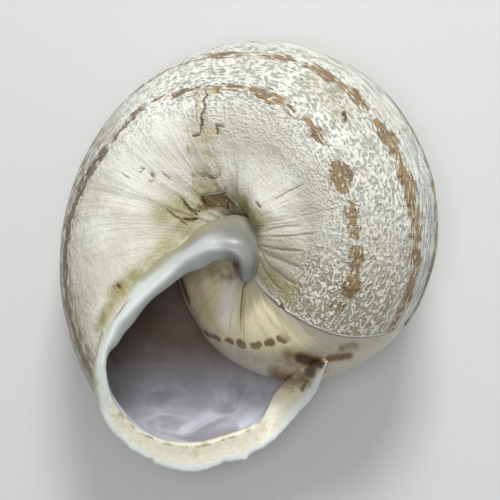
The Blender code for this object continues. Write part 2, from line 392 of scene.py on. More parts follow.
class Board:
    """Places nodes in one tree and links them; a number or tuple given for a socket is set as its value."""

    def __init__(self, tree: bpy.types.NodeTree) -> None:
        """Works in this tree."""
        self.tree = tree
        self.count = 0

    def node(self, kind: str, inputs: dict | None = None, **settings) -> bpy.types.Node:
        """Adds a node.

        Args:
            kind: the node's type, without its prefix.
            inputs: a socket or a constant for each input, by name or number.
            settings: the node's own properties.

        Returns:
            The node.
        """
        node = self.tree.nodes.new(kind if kind.startswith("NodeGroup") else "ShaderNode" + kind)
        node.location = (220 * (self.count % 12), -260 * (self.count // 12))
        self.count += 1
        for name, value in settings.items():
            setattr(node, name, value)
        for key, value in (inputs or {}).items():
            self.wire(node.inputs[key], value)
        return node

    def wire(self, socket: bpy.types.NodeSocket, value: Value) -> None:
        """Links a socket to another, or sets its value."""
        if isinstance(value, bpy.types.NodeSocket):
            self.tree.links.new(value, socket)
        else:
            socket.default_value = value

    def math(self, operation: str, first: Value, second: Value = 0.0) -> bpy.types.NodeSocket:
        """The result of a sum on one or two numbers."""
        return self.node("Math", {0: first, 1: second}, operation=operation).outputs[0]

    def add(self, *values: Value) -> bpy.types.NodeSocket:
        """The sum of several numbers."""
        total = values[0]
        for value in values[1:]:
            total = self.math("ADD", total, value)
        return total

    def times(self, *values: Value) -> bpy.types.NodeSocket:
        """The product of several numbers."""
        total = values[0]
        for value in values[1:]:
            total = self.math("MULTIPLY", total, value)
        return total

    def invert(self, value: Value) -> bpy.types.NodeSocket:
        """One less the number."""
        return self.math("SUBTRACT", 1.0, value)

    def step(self, value: Value, low: float, high: float) -> bpy.types.NodeSocket:
        """Rises smoothly from 0 at low to 1 at high, or falls if high is the lower one."""
        inputs = {"Value": value, "From Min": low, "From Max": high}
        return self.node("MapRange", inputs, interpolation_type="SMOOTHSTEP").outputs["Result"]

    def near(self, value: Value, centre: float, far: float, close: float) -> bpy.types.NodeSocket:
        """1 where a number is less than close from a centre, and 0 where it is more than far from it."""
        return self.step(self.math("ABSOLUTE", self.add(value, -centre)), far, close)

    def blend(self, share: Value, under: Value, over: Value) -> bpy.types.NodeSocket:
        """A number between two numbers, by a share."""
        return self.node("Mix", {"Factor": share, "A": under, "B": over}).outputs[0]

    def scale(self, vector: Value, factors: tuple[float, float, float]) -> bpy.types.NodeSocket:
        """A vector with each part multiplied."""
        return self.node("VectorMath", {0: vector, 1: factors}, operation="MULTIPLY").outputs[0]

    def shift(self, vector: Value, other: Value) -> bpy.types.NodeSocket:
        """The sum of two vectors."""
        return self.node("VectorMath", {0: vector, 1: other}, operation="ADD").outputs[0]

    def noise(
        self, vector: Value, scale: Value, detail: float = 2.0, rough: float = 0.5, warp: float = 0.0
    ) -> bpy.types.NodeSocket:
        """Smooth noise from 0 to 1 over a vector."""
        inputs = {"Vector": vector, "Scale": scale, "Detail": detail, "Roughness": rough, "Distortion": warp}
        return self.node("TexNoise", inputs).outputs["Fac"]

    def mix(self, share: Value, under: Value, over: Value) -> bpy.types.NodeSocket:
        """One colour laid over another by a share."""
        node = self.node("Mix", data_type="RGBA")
        self.wire(node.inputs["Factor"], share)
        for name, value in (("A", under), ("B", over)):
            socket = [s for s in node.inputs if s.name == name and s.type == "RGBA"][0]
            self.wire(socket, value)
        return [s for s in node.outputs if s.type == "RGBA"][0]

    def group(self, tree: bpy.types.NodeTree, inputs: dict[str, Value]) -> bpy.types.Node:
        """Places a node group with its own values."""
        return self.node("Group", inputs, node_tree=tree)

    def attribute(self, name: str, output: str = "Vector") -> bpy.types.NodeSocket:
        """What a piece keeps under this name for each point."""
        return self.node("Attribute", attribute_name=name).outputs[output]

    def parts(self, vector: Value) -> list[bpy.types.NodeSocket]:
        """The three numbers of a vector."""
        return list(self.node("SeparateXYZ", {0: vector}).outputs)

    def millimetres(self) -> bpy.types.NodeSocket:
        """Object coordinates in millimetres."""
        return self.scale(self.node("TexCoord").outputs["Object"], (1 / MM,) * 3)

    def emboss(self, surface: bpy.types.Node, height: Value, strength: float = 1.0) -> None:
        """Gives a surface shader relief from heights in millimetres."""
        bump = self.node("Bump", {"Height": height, "Distance": MM, "Strength": strength})
        self.wire(surface.inputs["Normal"], bump.outputs[0])


def open_material(name: str) -> tuple[bpy.types.Material, Board, bpy.types.Node]:
    """Starts a material.

    Args:
        name: the material's name.

    Returns:
        The material, a board on its tree and its surface shader.
    """
    material = bpy.data.materials.new(name)
    material.use_nodes = True
    return material, Board(material.node_tree), material.node_tree.nodes["Principled BSDF"]


class Socket(Enum):
    """Kinds of socket that a node group can have."""

    NUMBER = "NodeSocketFloat"
    VECTOR = "NodeSocketVector"


def open_group(
    name: str, inputs: dict[str, Socket], outputs: tuple[str, ...] = ("Mask",)
) -> tuple[bpy.types.NodeTree, Board, bpy.types.NodeOutputs, bpy.types.NodeInputs]:
    """Starts a node group.

    Args:
        name: the group's name.
        inputs: its inputs and their kinds.
        outputs: its outputs, which are all numbers.

    Returns:
        The tree, a board on it, its input sockets by name and its output sockets by name.
    """
    tree = bpy.data.node_groups.new(name, "ShaderNodeTree")
    for label, kind in inputs.items():
        tree.interface.new_socket(label, in_out="INPUT", socket_type=kind.value)
    for label in outputs:
        tree.interface.new_socket(label, in_out="OUTPUT", socket_type=Socket.NUMBER.value)
    board = Board(tree)
    source = board.node("NodeGroupInput")
    result = board.node("NodeGroupOutput")
    return tree, board, source.outputs, result.inputs


@dataclass
class Effects:
    """The node groups that the finishes share."""

    worms: bpy.types.NodeTree = field(init=False)
    wrinkles: bpy.types.NodeTree = field(init=False)
    lines: bpy.types.NodeTree = field(init=False)
    band: bpy.types.NodeTree = field(init=False)
    specks: bpy.types.NodeTree = field(init=False)

    def __post_init__(self) -> None:
        """Builds each group once."""
        self.worms = self.make_worms()
        self.wrinkles = self.make_wrinkles()
        self.lines = self.make_lines()
        self.band = self.make_band()
        self.specks = self.make_specks()

    def make_worms(self) -> bpy.types.NodeTree:
        """Short raised worms of one width along the contours of noise, broken up by a second noise."""
        names = {
            "Vector": Socket.VECTOR,
            "Scale": Socket.NUMBER,
            "Half Width": Socket.NUMBER,
            "Gaps": Socket.NUMBER,
        }
        tree, board, given, result = open_group("worm flecks", names)
        nudge, contours = 0.02, 4.0
        heights = []
        for offset in ((0, 0, 0), (nudge, 0, 0), (0, nudge, 0), (0, 0, nudge)):
            heights.append(board.noise(board.shift(given["Vector"], offset), given["Scale"], 0.0))
        rises = [board.math("SUBTRACT", height, heights[0]) for height in heights[1:]]
        rise = board.node("CombineXYZ", dict(enumerate(rises))).outputs[0]
        slope = board.node("VectorMath", {0: rise}, operation="LENGTH").outputs["Value"]
        slope = board.math("MAXIMUM", board.times(slope, 1 / nudge), board.times(given["Scale"], 0.3))
        part = board.math("FRACT", board.times(heights[0], contours))
        off_line = board.math("ABSOLUTE", board.math("SUBTRACT", part, 0.5))
        distance = board.math("DIVIDE", off_line, board.times(slope, contours))
        line = board.step(board.math("DIVIDE", distance, given["Half Width"]), 1.5, 0.4)
        elsewhere = board.shift(given["Vector"], (7.3, 1.9, 4.2))
        breaks = board.noise(elsewhere, board.times(given["Scale"], 1.9), 0.0)
        kept = board.step(board.math("SUBTRACT", breaks, given["Gaps"]), -0.05, 0.05)
        board.wire(result["Mask"], board.times(line, kept))
        return tree

    def make_wrinkles(self) -> bpy.types.NodeTree:
        """Chalk broken by small soft pits, which are as long and as wide as the vector is drawn out."""
        names = {"Vector": Socket.VECTOR, "Warp": Socket.NUMBER, "Pits": Socket.NUMBER, "Soft": Socket.NUMBER}
        tree, board, given, result = open_group("wrinkles", names, ("Mask", "Relief"))
        clouds = board.node("TexNoise", {"Vector": given["Vector"], "Scale": 0.45, "Detail": 1.0})
        bend = board.shift(clouds.outputs["Color"], (-0.5, -0.5, -0.5))
        bend = board.node("VectorMath", {0: bend, "Scale": given["Warp"]}, operation="SCALE").outputs[0]
        moved = board.shift(given["Vector"], bend)
        grain = board.noise(moved, 1.0, 1.0, 0.4)
        level = board.noise(given["Vector"], 0.3, 1.0)
        level = board.add(grain, board.times(board.add(level, -0.5), 0.5))
        level = board.math("DIVIDE", board.math("SUBTRACT", level, given["Pits"]), given["Soft"])
        board.wire(result["Mask"], board.step(level, -1.0, 1.3))
        board.wire(result["Relief"], board.step(level, -2.0, 3.0))
        return tree

    def make_lines(self) -> bpy.types.NodeTree:
        """Growth lines: noise drawn out along the mouth's edge, coarse and fine together."""
        names = {"Growth": Socket.VECTOR, "Fineness": Socket.NUMBER}
        tree, board, given, result = open_group("growth lines", names, ("Height",))
        layers = []
        for pace, drawn, weight in ((1.0, 0.06, 0.5), (2.7, 0.1, 0.3), (6.1, 0.16, 0.2)):
            way = board.scale(given["Growth"], (pace, drawn * pace, 1.0))
            layers.append(board.times(board.noise(way, given["Fineness"], 1.0), weight))
        board.wire(result["Height"], board.add(*layers))
        return tree

    def make_band(self) -> bpy.types.NodeTree:
        """A colour band with ragged edges, from the millimetres to its edge, broken along its way."""
        names = {
            "Edge": Socket.NUMBER,
            "Growth": Socket.VECTOR,
            "Vector": Socket.VECTOR,
            "Breaks": Socket.NUMBER,
        }
        tree, board, given, result = open_group("colour band", names)
        rough = board.math("SUBTRACT", board.noise(given["Vector"], 1.5, 3.0, 0.6), 0.5)
        drawn_out = board.scale(given["Growth"], (0.8, 4.0, 1.0))
        streaky = board.math("SUBTRACT", board.noise(drawn_out, 0.9, 1.0), 0.5)
        edge = board.add(given["Edge"], board.times(rough, 0.5), board.times(streaky, 1.1))
        inside = board.step(edge, -0.03, 0.09)
        blotch = board.noise(board.scale(given["Growth"], (0.55, 0.9, 1.0)), 1.0, 2.0, 0.55)
        whole = board.step(board.math("SUBTRACT", blotch, given["Breaks"]), -0.05, 0.05)
        board.wire(result["Mask"], board.times(inside, whole))
        return tree

    def make_specks(self) -> bpy.types.NodeTree:
        """Small scattered specks of dirt."""
        names = {"Vector": Socket.VECTOR, "Scale": Socket.NUMBER, "Amount": Socket.NUMBER}
        tree, board, given, result = open_group("dirt specks", names)
        grain = board.noise(given["Vector"], given["Scale"], 2.0, 0.7)
        board.wire(result["Mask"], board.step(board.add(grain, given["Amount"]), 0.74, 0.8))
        return tree


class Reading:
    """What the wall's finish reads at each point: its place, the masks that the wall keeps, and noises."""

    def __init__(self, board: Board, effects: Effects) -> None:
        """Reads everything once.

        Args:
            board: where the nodes are placed.
            effects: the shared node groups.
        """
        self.board = board
        self.effects = effects
        self.space = board.millimetres()
        self.growth = board.attribute("growth")
        self.along, self.round_whorl, _ = board.parts(self.growth)
        self.below = board.parts(board.attribute("bands_below"))
        self.above = board.parts(board.attribute("bands_above"))
        self.worm_zone, self.plate_zone, self.rim_zone = board.parts(board.attribute("cover"))
        self.yellow_zone, self.brown_zone, self.tan_zone = board.parts(board.attribute("dirt"))
        self.crack_off, self.fold_off, self.stain_off = board.parts(board.attribute("strokes"))
        # sheen holds the ridge's painted highlight, the bright swath of glaze and the painted light on the
        # chalk
        self.ridge, self.swath, self.lit_chalk = board.parts(board.attribute("sheen"))
        self.edge_off = board.attribute("callus_edge", "Fac")
        self.slow = board.noise(self.space, 0.35, 2.0)
        self.middling = board.noise(self.space, 1.1, 3.0, 0.6)
        self.fine = board.noise(self.space, 5.0, 3.0, 0.65)
        self.lines = board.group(effects.lines, {"Growth": self.growth, "Fineness": 1.6}).outputs["Height"]
        self.glazed = board.step(self.edge_off, -0.02, 0.03)

    def wrinkled(
        self, drawn: tuple[float, float, float], warp: float, pits: Value, soft: float
    ) -> bpy.types.NodeOutputs:
        """Pits in the chalk, as the outputs Mask and Relief.

        Args:
            drawn: how narrow they are along and round the whorl.
            warp: how much they bend.
            pits: how much of the chalk they take.
            soft: how soft their edges are.

        Returns:
            The outputs.
        """
        inputs = {"Vector": self.board.scale(self.growth, drawn), "Warp": warp, "Pits": pits, "Soft": soft}
        return self.board.group(self.effects.wrinkles, inputs).outputs


@dataclass(frozen=True)
class Chalk:
    """The worn outside of the wall: white flecks over a tan ground, brown bands, glaze past the callus."""

    white: tuple = linear(243, 245, 238)
    ivory: tuple = linear(208, 205, 190)
    cream: tuple = linear(204, 196, 172)
    # greys between the flecks: partly the chalk's own ground, partly painted shade in the pits
    tan_ground: tuple = linear(158, 149, 124)
    pale_ground_and_pit_shade: tuple = linear(184, 184, 176)
    grey_ground_and_pit_shade: tuple = linear(158, 159, 150)
    rim_ground: tuple = linear(166, 171, 175)
    left_ground: tuple = linear(122, 110, 98)
    left_brown: tuple = linear(108, 90, 74)
    brown: tuple = linear(154, 126, 84)
    dark_brown: tuple = linear(122, 94, 60)
    spot_brown: tuple = linear(108, 72, 34)
    yellow: tuple = linear(152, 144, 94)
    glaze_cream: tuple = linear(236, 226, 188)
    glaze_grey: tuple = linear(196, 190, 168)
    sienna: tuple = linear(122, 88, 38)
    stain: tuple = linear(62, 36, 8)
    umber: tuple = linear(114, 90, 46)
    # tan of the glaze toward the pillar, partly its own colour and partly painted shade under the lip
    glaze_tan_and_shade: tuple = linear(200, 178, 142)
    # painted highlight on the soft ridge under the callus
    glaze_highlight_white: tuple = linear(248, 244, 232)
    glaze_bright: tuple = linear(252, 242, 198)
    plate_tan: tuple = linear(206, 192, 158)
    crack: tuple = linear(88, 54, 20)
    grey_from: tuple[float, float] = (-32.0, -40.0)
    left_from: tuple[float, float] = (-33.0, -26.0)
    pillar_side: tuple[float, float] = (-4.8, -6.2)
    relief_from: tuple[float, float] = (-11.5, -7.0)
    smooth_from: tuple[float, float] = (-38.0, -32.0)
    band_breaks: tuple[float, ...] = (0.3, 0.3, 0.42, 0.44, 0.46)

    def dress(self, effects: Effects) -> bpy.types.Material:
        """Makes the material.

        Args:
            effects: the shared node groups.

        Returns:
            The material.
        """
        material, board, surface = open_material("chalky shell wall")
        at = Reading(board, effects)
        leftmost = board.step(at.along, *self.left_from)
        flecks, raised = self.make_flecks(at, leftmost)
        colour = self.lay_bands(at, self.make_ground(at, leftmost, flecks), leftmost)
        colour = self.lay_glaze(at, colour)
        ledge, zone = self.make_plates(at)
        tinted = board.times(zone, board.step(board.add(ledge, board.times(at.fine, 0.6)), 0.5, 1.1))
        colour = board.mix(board.times(tinted, 0.7), colour, self.plate_tan)
        fuzzy = board.add(board.times(at.middling, 0.9), board.times(at.fine, 0.7), -0.8)
        browned = board.add(at.brown_zone, board.times(fuzzy, 0.7))
        cracked = board.step(board.add(at.crack_off, board.times(at.fine, 0.12)), 0.11, 0.05)
        board.wire(surface.inputs["Base Color"], self.lay_dirt(at, colour, browned, cracked))

        shiny = board.times(at.glazed, board.invert(board.step(browned, 0.05, 0.7)))
        board.wire(surface.inputs["Roughness"], board.blend(shiny, 0.5, 0.28))
        board.wire(surface.inputs["Coat Weight"], board.times(shiny, 0.5))
        surface.inputs["Coat Roughness"].default_value = 0.15

        chalk_side = board.invert(at.glazed)
        smoother = board.times(board.step(at.along, *self.smooth_from), board.invert(at.rim_zone), 0.75)
        rough_side = board.times(chalk_side, board.invert(smoother))
        relief = board.add(
            board.times(raised, board.step(at.round_whorl, *self.relief_from), rough_side, 0.065),
            board.times(at.lines, board.add(0.03, board.times(chalk_side, 0.08))),
            board.times(at.middling, chalk_side, 0.16),
            board.times(at.fine, rough_side, 0.07),
            board.times(cracked, -0.06),
            board.times(ledge, zone, 0.09),
        )
        board.emboss(surface, relief)
        return material

    def make_flecks(self, at: Reading, leftmost: Value) -> tuple[Value, Value]:
        """The white flecks: worms on the tan side, streaks toward the rim and short dashes between them.

        Args:
            at: what the finish reads.
            leftmost: where the wall comes near the mouth's left side.

        Returns:
            The flecks as a mask, and as relief.
        """
        board = at.board
        drawn = board.scale(at.growth, (0.95, 1.75, 1.0))
        inputs = {"Vector": drawn, "Scale": 1.0, "Half Width": 0.14, "Gaps": 0.43}
        worms = board.group(at.effects.worms, inputs).outputs["Mask"]
        dashes = at.wrinkled((2.6, 5.4, 1.0), 1.8, 0.45, 0.09)
        streaks = at.wrinkled((0.9, 6.5, 1.0), 0.8, board.add(0.45, board.times(leftmost, 0.06)), 0.08)
        results = []
        for name in ("Mask", "Relief"):
            inner = board.blend(at.tan_zone, dashes[name], worms)
            results.append(board.blend(at.rim_zone, inner, streaks[name]))
        return tuple(results)

    def make_ground(self, at: Reading, leftmost: Value, flecks: Value) -> Value:
        """The colour of the chalk, with the ground between the flecks, which is partly its own tone and
        partly painted shade in the pits.

        Args:
            at: what the finish reads.
            leftmost: where the wall comes near the mouth's left side.
            flecks: the mask of the flecks.

        Returns:
            The colour.
        """
        board = at.board
        chalk = board.mix(board.times(board.step(at.slow, 0.4, 0.72), 0.6), self.ivory, self.white)
        # painted light: the chalk turns white where the light falls brightest, at the upper left
        chalk = board.mix(at.lit_chalk, chalk, self.white)
        chalk = board.mix(board.times(board.step(at.lines, 0.5, 0.38), 0.4), chalk, self.cream)
        chalk = board.mix(board.times(board.step(at.fine, 0.52, 0.36), 0.3), chalk, self.cream)
        # partly painted shade: the pits between the flecks are laid greyer than the chalk
        between_flecks = board.mix(board.step(at.along, *self.grey_from), self.pale_ground_and_pit_shade, self.grey_ground_and_pit_shade)
        between_flecks = board.mix(at.tan_zone, between_flecks, self.tan_ground)
        between_flecks = board.mix(at.rim_zone, between_flecks, board.mix(leftmost, self.rim_ground, self.left_ground))
        between_flecks = board.mix(board.times(board.step(at.fine, 0.4, 0.6), 0.35), between_flecks, self.cream)
        speckled = board.mix(flecks, between_flecks, board.mix(0.4, chalk, self.white))
        return board.mix(board.math("MAXIMUM", at.worm_zone, at.rim_zone), chalk, speckled)

    def lay_bands(self, at: Reading, colour: Value, leftmost: Value) -> Value:
        """Lays the brown bands over the ground.

        Args:
            at: what the finish reads.
            colour: the colour under them.
            leftmost: where the wall comes near the mouth's left side.

        Returns:
            The colour with the bands.
        """
        board = at.board
        bands = 0.0
        for edge, breaks in zip(at.below[:2] + at.above, self.band_breaks):
            inputs = {"Edge": edge, "Growth": at.growth, "Vector": at.space, "Breaks": breaks}
            bands = board.math("MAXIMUM", bands, board.group(at.effects.band, inputs).outputs["Mask"])
        tint = board.mix(board.step(at.middling, 0.35, 0.65), self.dark_brown, self.brown)
        tint = board.mix(leftmost, tint, self.left_brown)
        whole = at.wrinkled((1.4, 6.0, 1.0), 0.8, 0.4, 0.04)["Mask"]
        banded = board.times(bands, board.add(0.2, board.times(whole, 0.8)))
        return board.mix(board.times(banded, 0.92), colour, tint)

    def lay_glaze(self, at: Reading, colour: Value) -> Value:
        """Lays the glaze past the callus edge, with its clouds, its row of brown spots, a painted highlight
        on the ridge under the callus, tan that is partly painted shade toward the pillar, and its two rim
        lines, a white one that is partly painted highlight and a dark one that is partly painted shadow.

        Args:
            at: what the finish reads.
            colour: the colour under it.

        Returns:
            The colour with the glaze.
        """
        board = at.board
        deep = board.step(board.add(at.edge_off, at.middling), 0.9, 2.4)
        deep = board.times(deep, board.step(at.round_whorl, *self.pillar_side))
        far = board.step(board.add(at.edge_off, board.times(at.middling, 2.0)), 7.0, 10.0)
        spots = board.step(board.add(at.below[0], board.times(at.middling, 0.9), -0.4), -0.1, 0.16)
        spots = board.times(spots, board.step(at.edge_off, 1.5, 2.5))
        glaze = board.mix(deep, self.glaze_grey, self.glaze_cream)
        # partly painted shade: the glaze turns tan toward the pillar, under the lip
        glaze = board.mix(far, glaze, self.glaze_tan_and_shade)
        # painted highlight on the soft ridge under the callus
        glaze = board.mix(board.times(at.ridge, 0.9), glaze, self.glaze_highlight_white)
        glaze = board.mix(board.times(at.swath, 0.9), glaze, self.glaze_bright)
        glaze = board.mix(board.times(board.step(at.lines, 0.46, 0.36), 0.35), glaze, self.yellow)
        glaze = board.mix(board.times(spots, 0.9), glaze, self.spot_brown)
        colour = board.mix(at.glazed, colour, glaze)
        # a white line on the raised rim of the callus edge, partly painted highlight, and a dark line in the
        # groove beside it, partly painted shadow
        colour = board.mix(board.times(board.near(at.edge_off, -0.09, 0.1, 0.05), 0.8), colour, self.white)
        return board.mix(board.times(board.near(at.edge_off, 0.06, 0.09, 0.03), 0.6), colour, self.stain)

    def make_plates(self, at: Reading) -> tuple[Value, Value]:
        """The broken plates above the navel.

        Args:
            at: what the finish reads.

        Returns:
            How high each plate stands, and where there are plates.
        """
        board = at.board
        ragged = board.noise(at.space, 2.2, 3.0, 0.65)
        way = {0: board.times(ragged, 1.6), 1: board.times(at.middling, 1.6)}
        way = board.node("CombineXYZ", way).outputs[0]
        cells = {"Vector": board.shift(board.scale(at.growth, (0.7, 1.1, 1.0)), way), "Scale": 1.0}
        ledge = board.parts(board.node("TexVoronoi", cells).outputs["Color"])[0]
        return ledge, board.step(board.add(at.plate_zone, board.times(at.middling, 0.6)), 0.6, 0.8)

    def lay_dirt(self, at: Reading, colour: Value, browned: Value, cracked: Value) -> Value:
        """Lays the yellow and brown dirt, with a patch of painted shade in the yellow, the folds, the stains,
        the cracks and the specks over the rest.

        Args:
            at: what the finish reads.
            colour: the colour under them.
            browned: how brown the dirt is.
            cracked: where the cracks are.

        Returns:
            The finished colour.
        """
        board = at.board
        mottled = board.add(board.step(at.middling, 0.35, 0.6), board.step(at.fine, 0.35, 0.6))
        mottled = board.times(mottled, 0.5)
        yellowed = board.times(at.yellow_zone, board.add(0.5, board.times(mottled, 0.5)))
        stained = board.step(board.add(at.stain_off, board.times(at.fine, 0.05)), 0.1, 0.02)
        stained = board.times(stained, board.add(0.65, board.times(mottled, 0.35)))
        inputs = {"Vector": at.space, "Scale": 2.4, "Amount": -0.03}
        specks = board.group(at.effects.specks, inputs).outputs["Mask"]
        layers = (
            # the yellow also lays painted shade on the wall's lower left
            (yellowed, 0.9, self.yellow),
            (board.step(at.fold_off, 0.12, 0.0), 0.5, self.tan_ground),
            (board.step(browned, 0.05, 0.7), 0.85, self.sienna),
            (board.step(browned, 0.45, 1.1), 0.95, self.stain),
            (stained, 1.0, self.umber),
            (cracked, 0.85, self.crack),
            (specks, 0.6, self.crack),
        )
        for mask, strength, tint in layers:
            colour = board.mix(board.times(mask, strength), colour, tint)
        return colour


@dataclass(frozen=True)
class Glaze:
    """The inside of the wall: glossy lilac and brown clouds, the brown deepened toward +y as painted shade.
    """

    lilac: tuple = linear(222, 224, 236)
    grey: tuple = linear(168, 166, 172)
    # brown of the inside, also laid as painted shade toward +y
    brown: tuple = linear(98, 78, 60)

    def dress(self) -> bpy.types.Material:
        """Makes the material."""
        material, board, surface = open_material("glazed inside")
        space = board.millimetres()
        growth = board.attribute("growth")
        cloud = board.noise(space, 0.35, 3.0, 0.55, 0.6)
        colour = board.mix(board.step(cloud, 0.35, 0.62), self.grey, self.lilac)
        # painted shade: the inside turns brown toward +y, partly over its own brown clouds
        height = board.parts(space)[1]
        back = board.step(board.add(height, board.times(cloud, 7.0)), -6.5, -1.5)
        colour = board.mix(board.times(back, 0.9), colour, self.brown)
        board.wire(surface.inputs["Base Color"], colour)
        surface.inputs["Roughness"].default_value = 0.3
        surface.inputs["Coat Weight"].default_value = 0.4
        surface.inputs["Coat Roughness"].default_value = 0.12
        swell = board.times(board.noise(board.scale(growth, (1.0, 0.2, 1.0)), 0.5, 2.0), 0.15)
        board.emboss(surface, swell, 0.6)
        return material


@dataclass(frozen=True)
class Porcelain:
    """The lip and the callus: bluish porcelain, a white edge, a cream face and a brown dirt line, with a
    painted highlight along the callus crest and an olive crease on its outer flank that is partly painted
    shade.
    """

    blue_grey: tuple = linear(150, 151, 149)
    pad_grey: tuple = linear(128, 128, 124)
    # bluish white of the callus crest, lightened as a painted highlight
    blue_white_highlight: tuple = linear(188, 192, 190)
    arm: tuple = linear(212, 219, 214)
    # olive crease on the outer flank, partly its own colour and partly painted shade
    olive_crease_and_shade: tuple = linear(150, 146, 114)
    white: tuple = linear(228, 234, 229)
    cream: tuple = linear(232, 226, 200)
    ivory: tuple = linear(238, 236, 218)
    ochre: tuple = linear(186, 162, 108)
    sienna: tuple = linear(120, 90, 42)
    stain: tuple = linear(62, 36, 8)
    dirt: tuple = linear(96, 74, 46)

    def dress(self, effects: Effects) -> bpy.types.Material:
        """Makes the material.

        Args:
            effects: the shared node groups.

        Returns:
            The material.
        """
        material, board, surface = open_material("porcelain lip")
        space = board.millimetres()
        across, bottom, callus = board.parts(board.attribute("lip"))
        pad = board.step(callus, 1.0, 2.0)
        callus = board.step(callus, 0.0, 1.0)
        yellow, brown, corner = board.parts(board.attribute("lip_dirt"))
        fine = board.noise(space, 4.0, 4.0, 0.65)
        middling = board.noise(space, 1.3, 3.0, 0.6)
        ragged = board.add(across, board.times(middling, 0.2), board.times(fine, 0.1), -0.15)

        face = board.mix(board.step(fine, 0.42, 0.6), self.cream, self.ivory)
        banked = board.math("MAXIMUM", bottom, corner)
        edge = board.step(board.math("SUBTRACT", ragged, board.blend(banked, -0.5, 0.74)), -0.08, 0.08)
        colour = board.mix(edge, face, board.mix(banked, self.arm, self.white))
        line = board.times(board.near(ragged, 0.2, 0.08, 0.0), board.step(middling, 0.38, 0.6), bottom)
        colour = board.mix(board.times(line, 0.6), colour, self.dirt)
        dusty = board.times(board.step(middling, 0.5, 0.68), bottom, board.invert(edge))
        colour = board.mix(board.times(dusty, 0.4), colour, self.ochre)
        # painted highlight along the crest, carried onto the callus's shaded inner side; the pad's end keeps
        # less of it
        crest = board.times(board.near(ragged, 0.25, 0.5, 0.15), board.invert(board.times(pad, 0.9)))
        porcelain = board.mix(crest, board.mix(pad, self.blue_grey, self.pad_grey), self.blue_white_highlight)
        colour = board.mix(callus, colour, porcelain)
        # partly painted shade: the outer flank darkens to olive
        olive_crease_and_shade = board.times(board.step(ragged, 0.52, 0.85), board.invert(banked))
        colour = board.mix(board.times(olive_crease_and_shade, board.invert(board.times(pad, 0.45)), 0.85), colour, self.olive_crease_and_shade)
        away = board.step(ragged, 0.88, 0.76)
        yellowed = board.add(yellow, board.times(middling, 0.5), board.times(fine, 0.4), -0.45)
        yellowed = board.step(yellowed, 0.2, 0.9)
        colour = board.mix(board.times(yellowed, away, 0.7), colour, self.ochre)
        browned = board.add(brown, board.times(middling, 0.6), board.times(fine, 0.5), -0.55)
        colour = board.mix(board.times(board.step(browned, 0.05, 0.7), away, 0.85), colour, self.sienna)
        colour = board.mix(board.times(board.step(browned, 0.45, 1.1), away, 0.95), colour, self.stain)
        specks = board.group(effects.specks, {"Vector": space, "Scale": 3.2, "Amount": 0.02}).outputs["Mask"]
        colour = board.mix(board.times(specks, 0.7), colour, self.dirt)
        board.wire(surface.inputs["Base Color"], colour)
        surface.inputs["Roughness"].default_value = 0.42
        clean = board.invert(board.step(browned, 0.05, 0.7))
        board.wire(surface.inputs["Coat Weight"], board.times(clean, 0.4))
        surface.inputs["Coat Roughness"].default_value = 0.3
        swell = board.add(
            board.times(board.noise(space, 1.4, 3.0), 0.06),
            board.times(fine, bottom, 0.04),
            board.times(line, -0.03),
        )
        board.emboss(surface, swell, 0.8)
        return material


class Mark(Enum):
    """Kinds of line on the wall."""

    CRACK = 0
    FOLD = 1
    STAIN = 2


@dataclass(frozen=True)
class Stroke:
    """A line on the upper side of the wall as it lies: its course seen from above, and how deep it is cut."""

    mark: Mark
    course: tuple[tuple[float, float], ...]
    half_width: float = 0.05
    depth: float = 0.08
    wander: float = 0.04
    taper: float = 0.06
    stride: float = 0.16

    def distance(self, points: Points) -> Points:
        """Millimetres from each point to the line's edge, seen from above; the line thins out at its ends."""
        path = self.wandering()
        best = np.full(len(points), FAR_OFF)
        near = np.abs(points[:, :2] - path.mean(axis=0)).max(axis=1) < 1.0 + np.ptp(path, axis=0).max()
        spot = points[near, :2]
        nearest = np.full(len(spot), FAR_OFF)
        for k, (start, end) in enumerate(zip(path, path[1:])):
            run = end - start
            share = np.clip((spot - start) @ run / max(run @ run, 1e-9), 0, 1)
            thin = self.taper * (2 * (k + share) / (len(path) - 1) - 1) ** 4
            nearest = np.minimum(nearest, np.linalg.norm(spot - start - share[:, None] * run, axis=1) + thin)
        best[near] = np.maximum(nearest - self.half_width, 0.0)
        return np.where(points[:, 2] > UPPER_SIDE, best, FAR_OFF)

    def wandering(self) -> Points:
        """The course with small steps to either side of it."""
        path = np.array(self.course)
        count = max(2, round(np.linalg.norm(np.diff(path, axis=0), axis=1).sum() / self.stride))
        along = np.linspace(0, len(path) - 1, count)
        spots = np.stack([np.interp(along, np.arange(len(path)), path[:, k]) for k in (0, 1)], axis=1)
        jitter = np.random.default_rng(len(path) + count).uniform(-1, 1, spots.shape)
        return spots + jitter * self.wander


@dataclass(frozen=True)
class Patch:
    """A soft area on the upper side as it lies, round a place or along the line to a second place."""

    x: float
    y: float
    radius: float
    strength: float = 1.0
    to: tuple[float, float] | None = None

    def share(self, points: Points) -> Points:
        """How strong the patch is at each point."""
        start = np.array([self.x, self.y])
        run = np.array(self.to or (self.x, self.y)) - start
        along = np.clip((points[:, :2] - start) @ run / max(run @ run, 1e-9), 0, 1)
        off = np.linalg.norm(points[:, :2] - start - along[:, None] * run, axis=1)
        return np.where(points[:, 2] > UPPER_SIDE, self.strength * ease(1.1 - off / self.radius * 0.7), 0.0)


def strongest(patches: tuple[Patch, ...], points: Points) -> Points:
    """How strong the strongest of some patches is at each point."""
    return np.max([patch.share(points) for patch in patches], axis=0)


@dataclass(frozen=True)
class Blotch:
    """A stretch of a colour band, from one turn of the coil back to an earlier one."""

    start: float
    end: float
    half_width: float

    def reach(self, turn: Points) -> Points:
        """Half the blotch's width at each turn, below zero past its ends."""
        share = 2 * (turn - self.end) / (self.start - self.end) - 1
        return self.half_width * np.sqrt(np.maximum(1 - share**2, 0)) - 0.5 * (np.abs(share) >= 1)


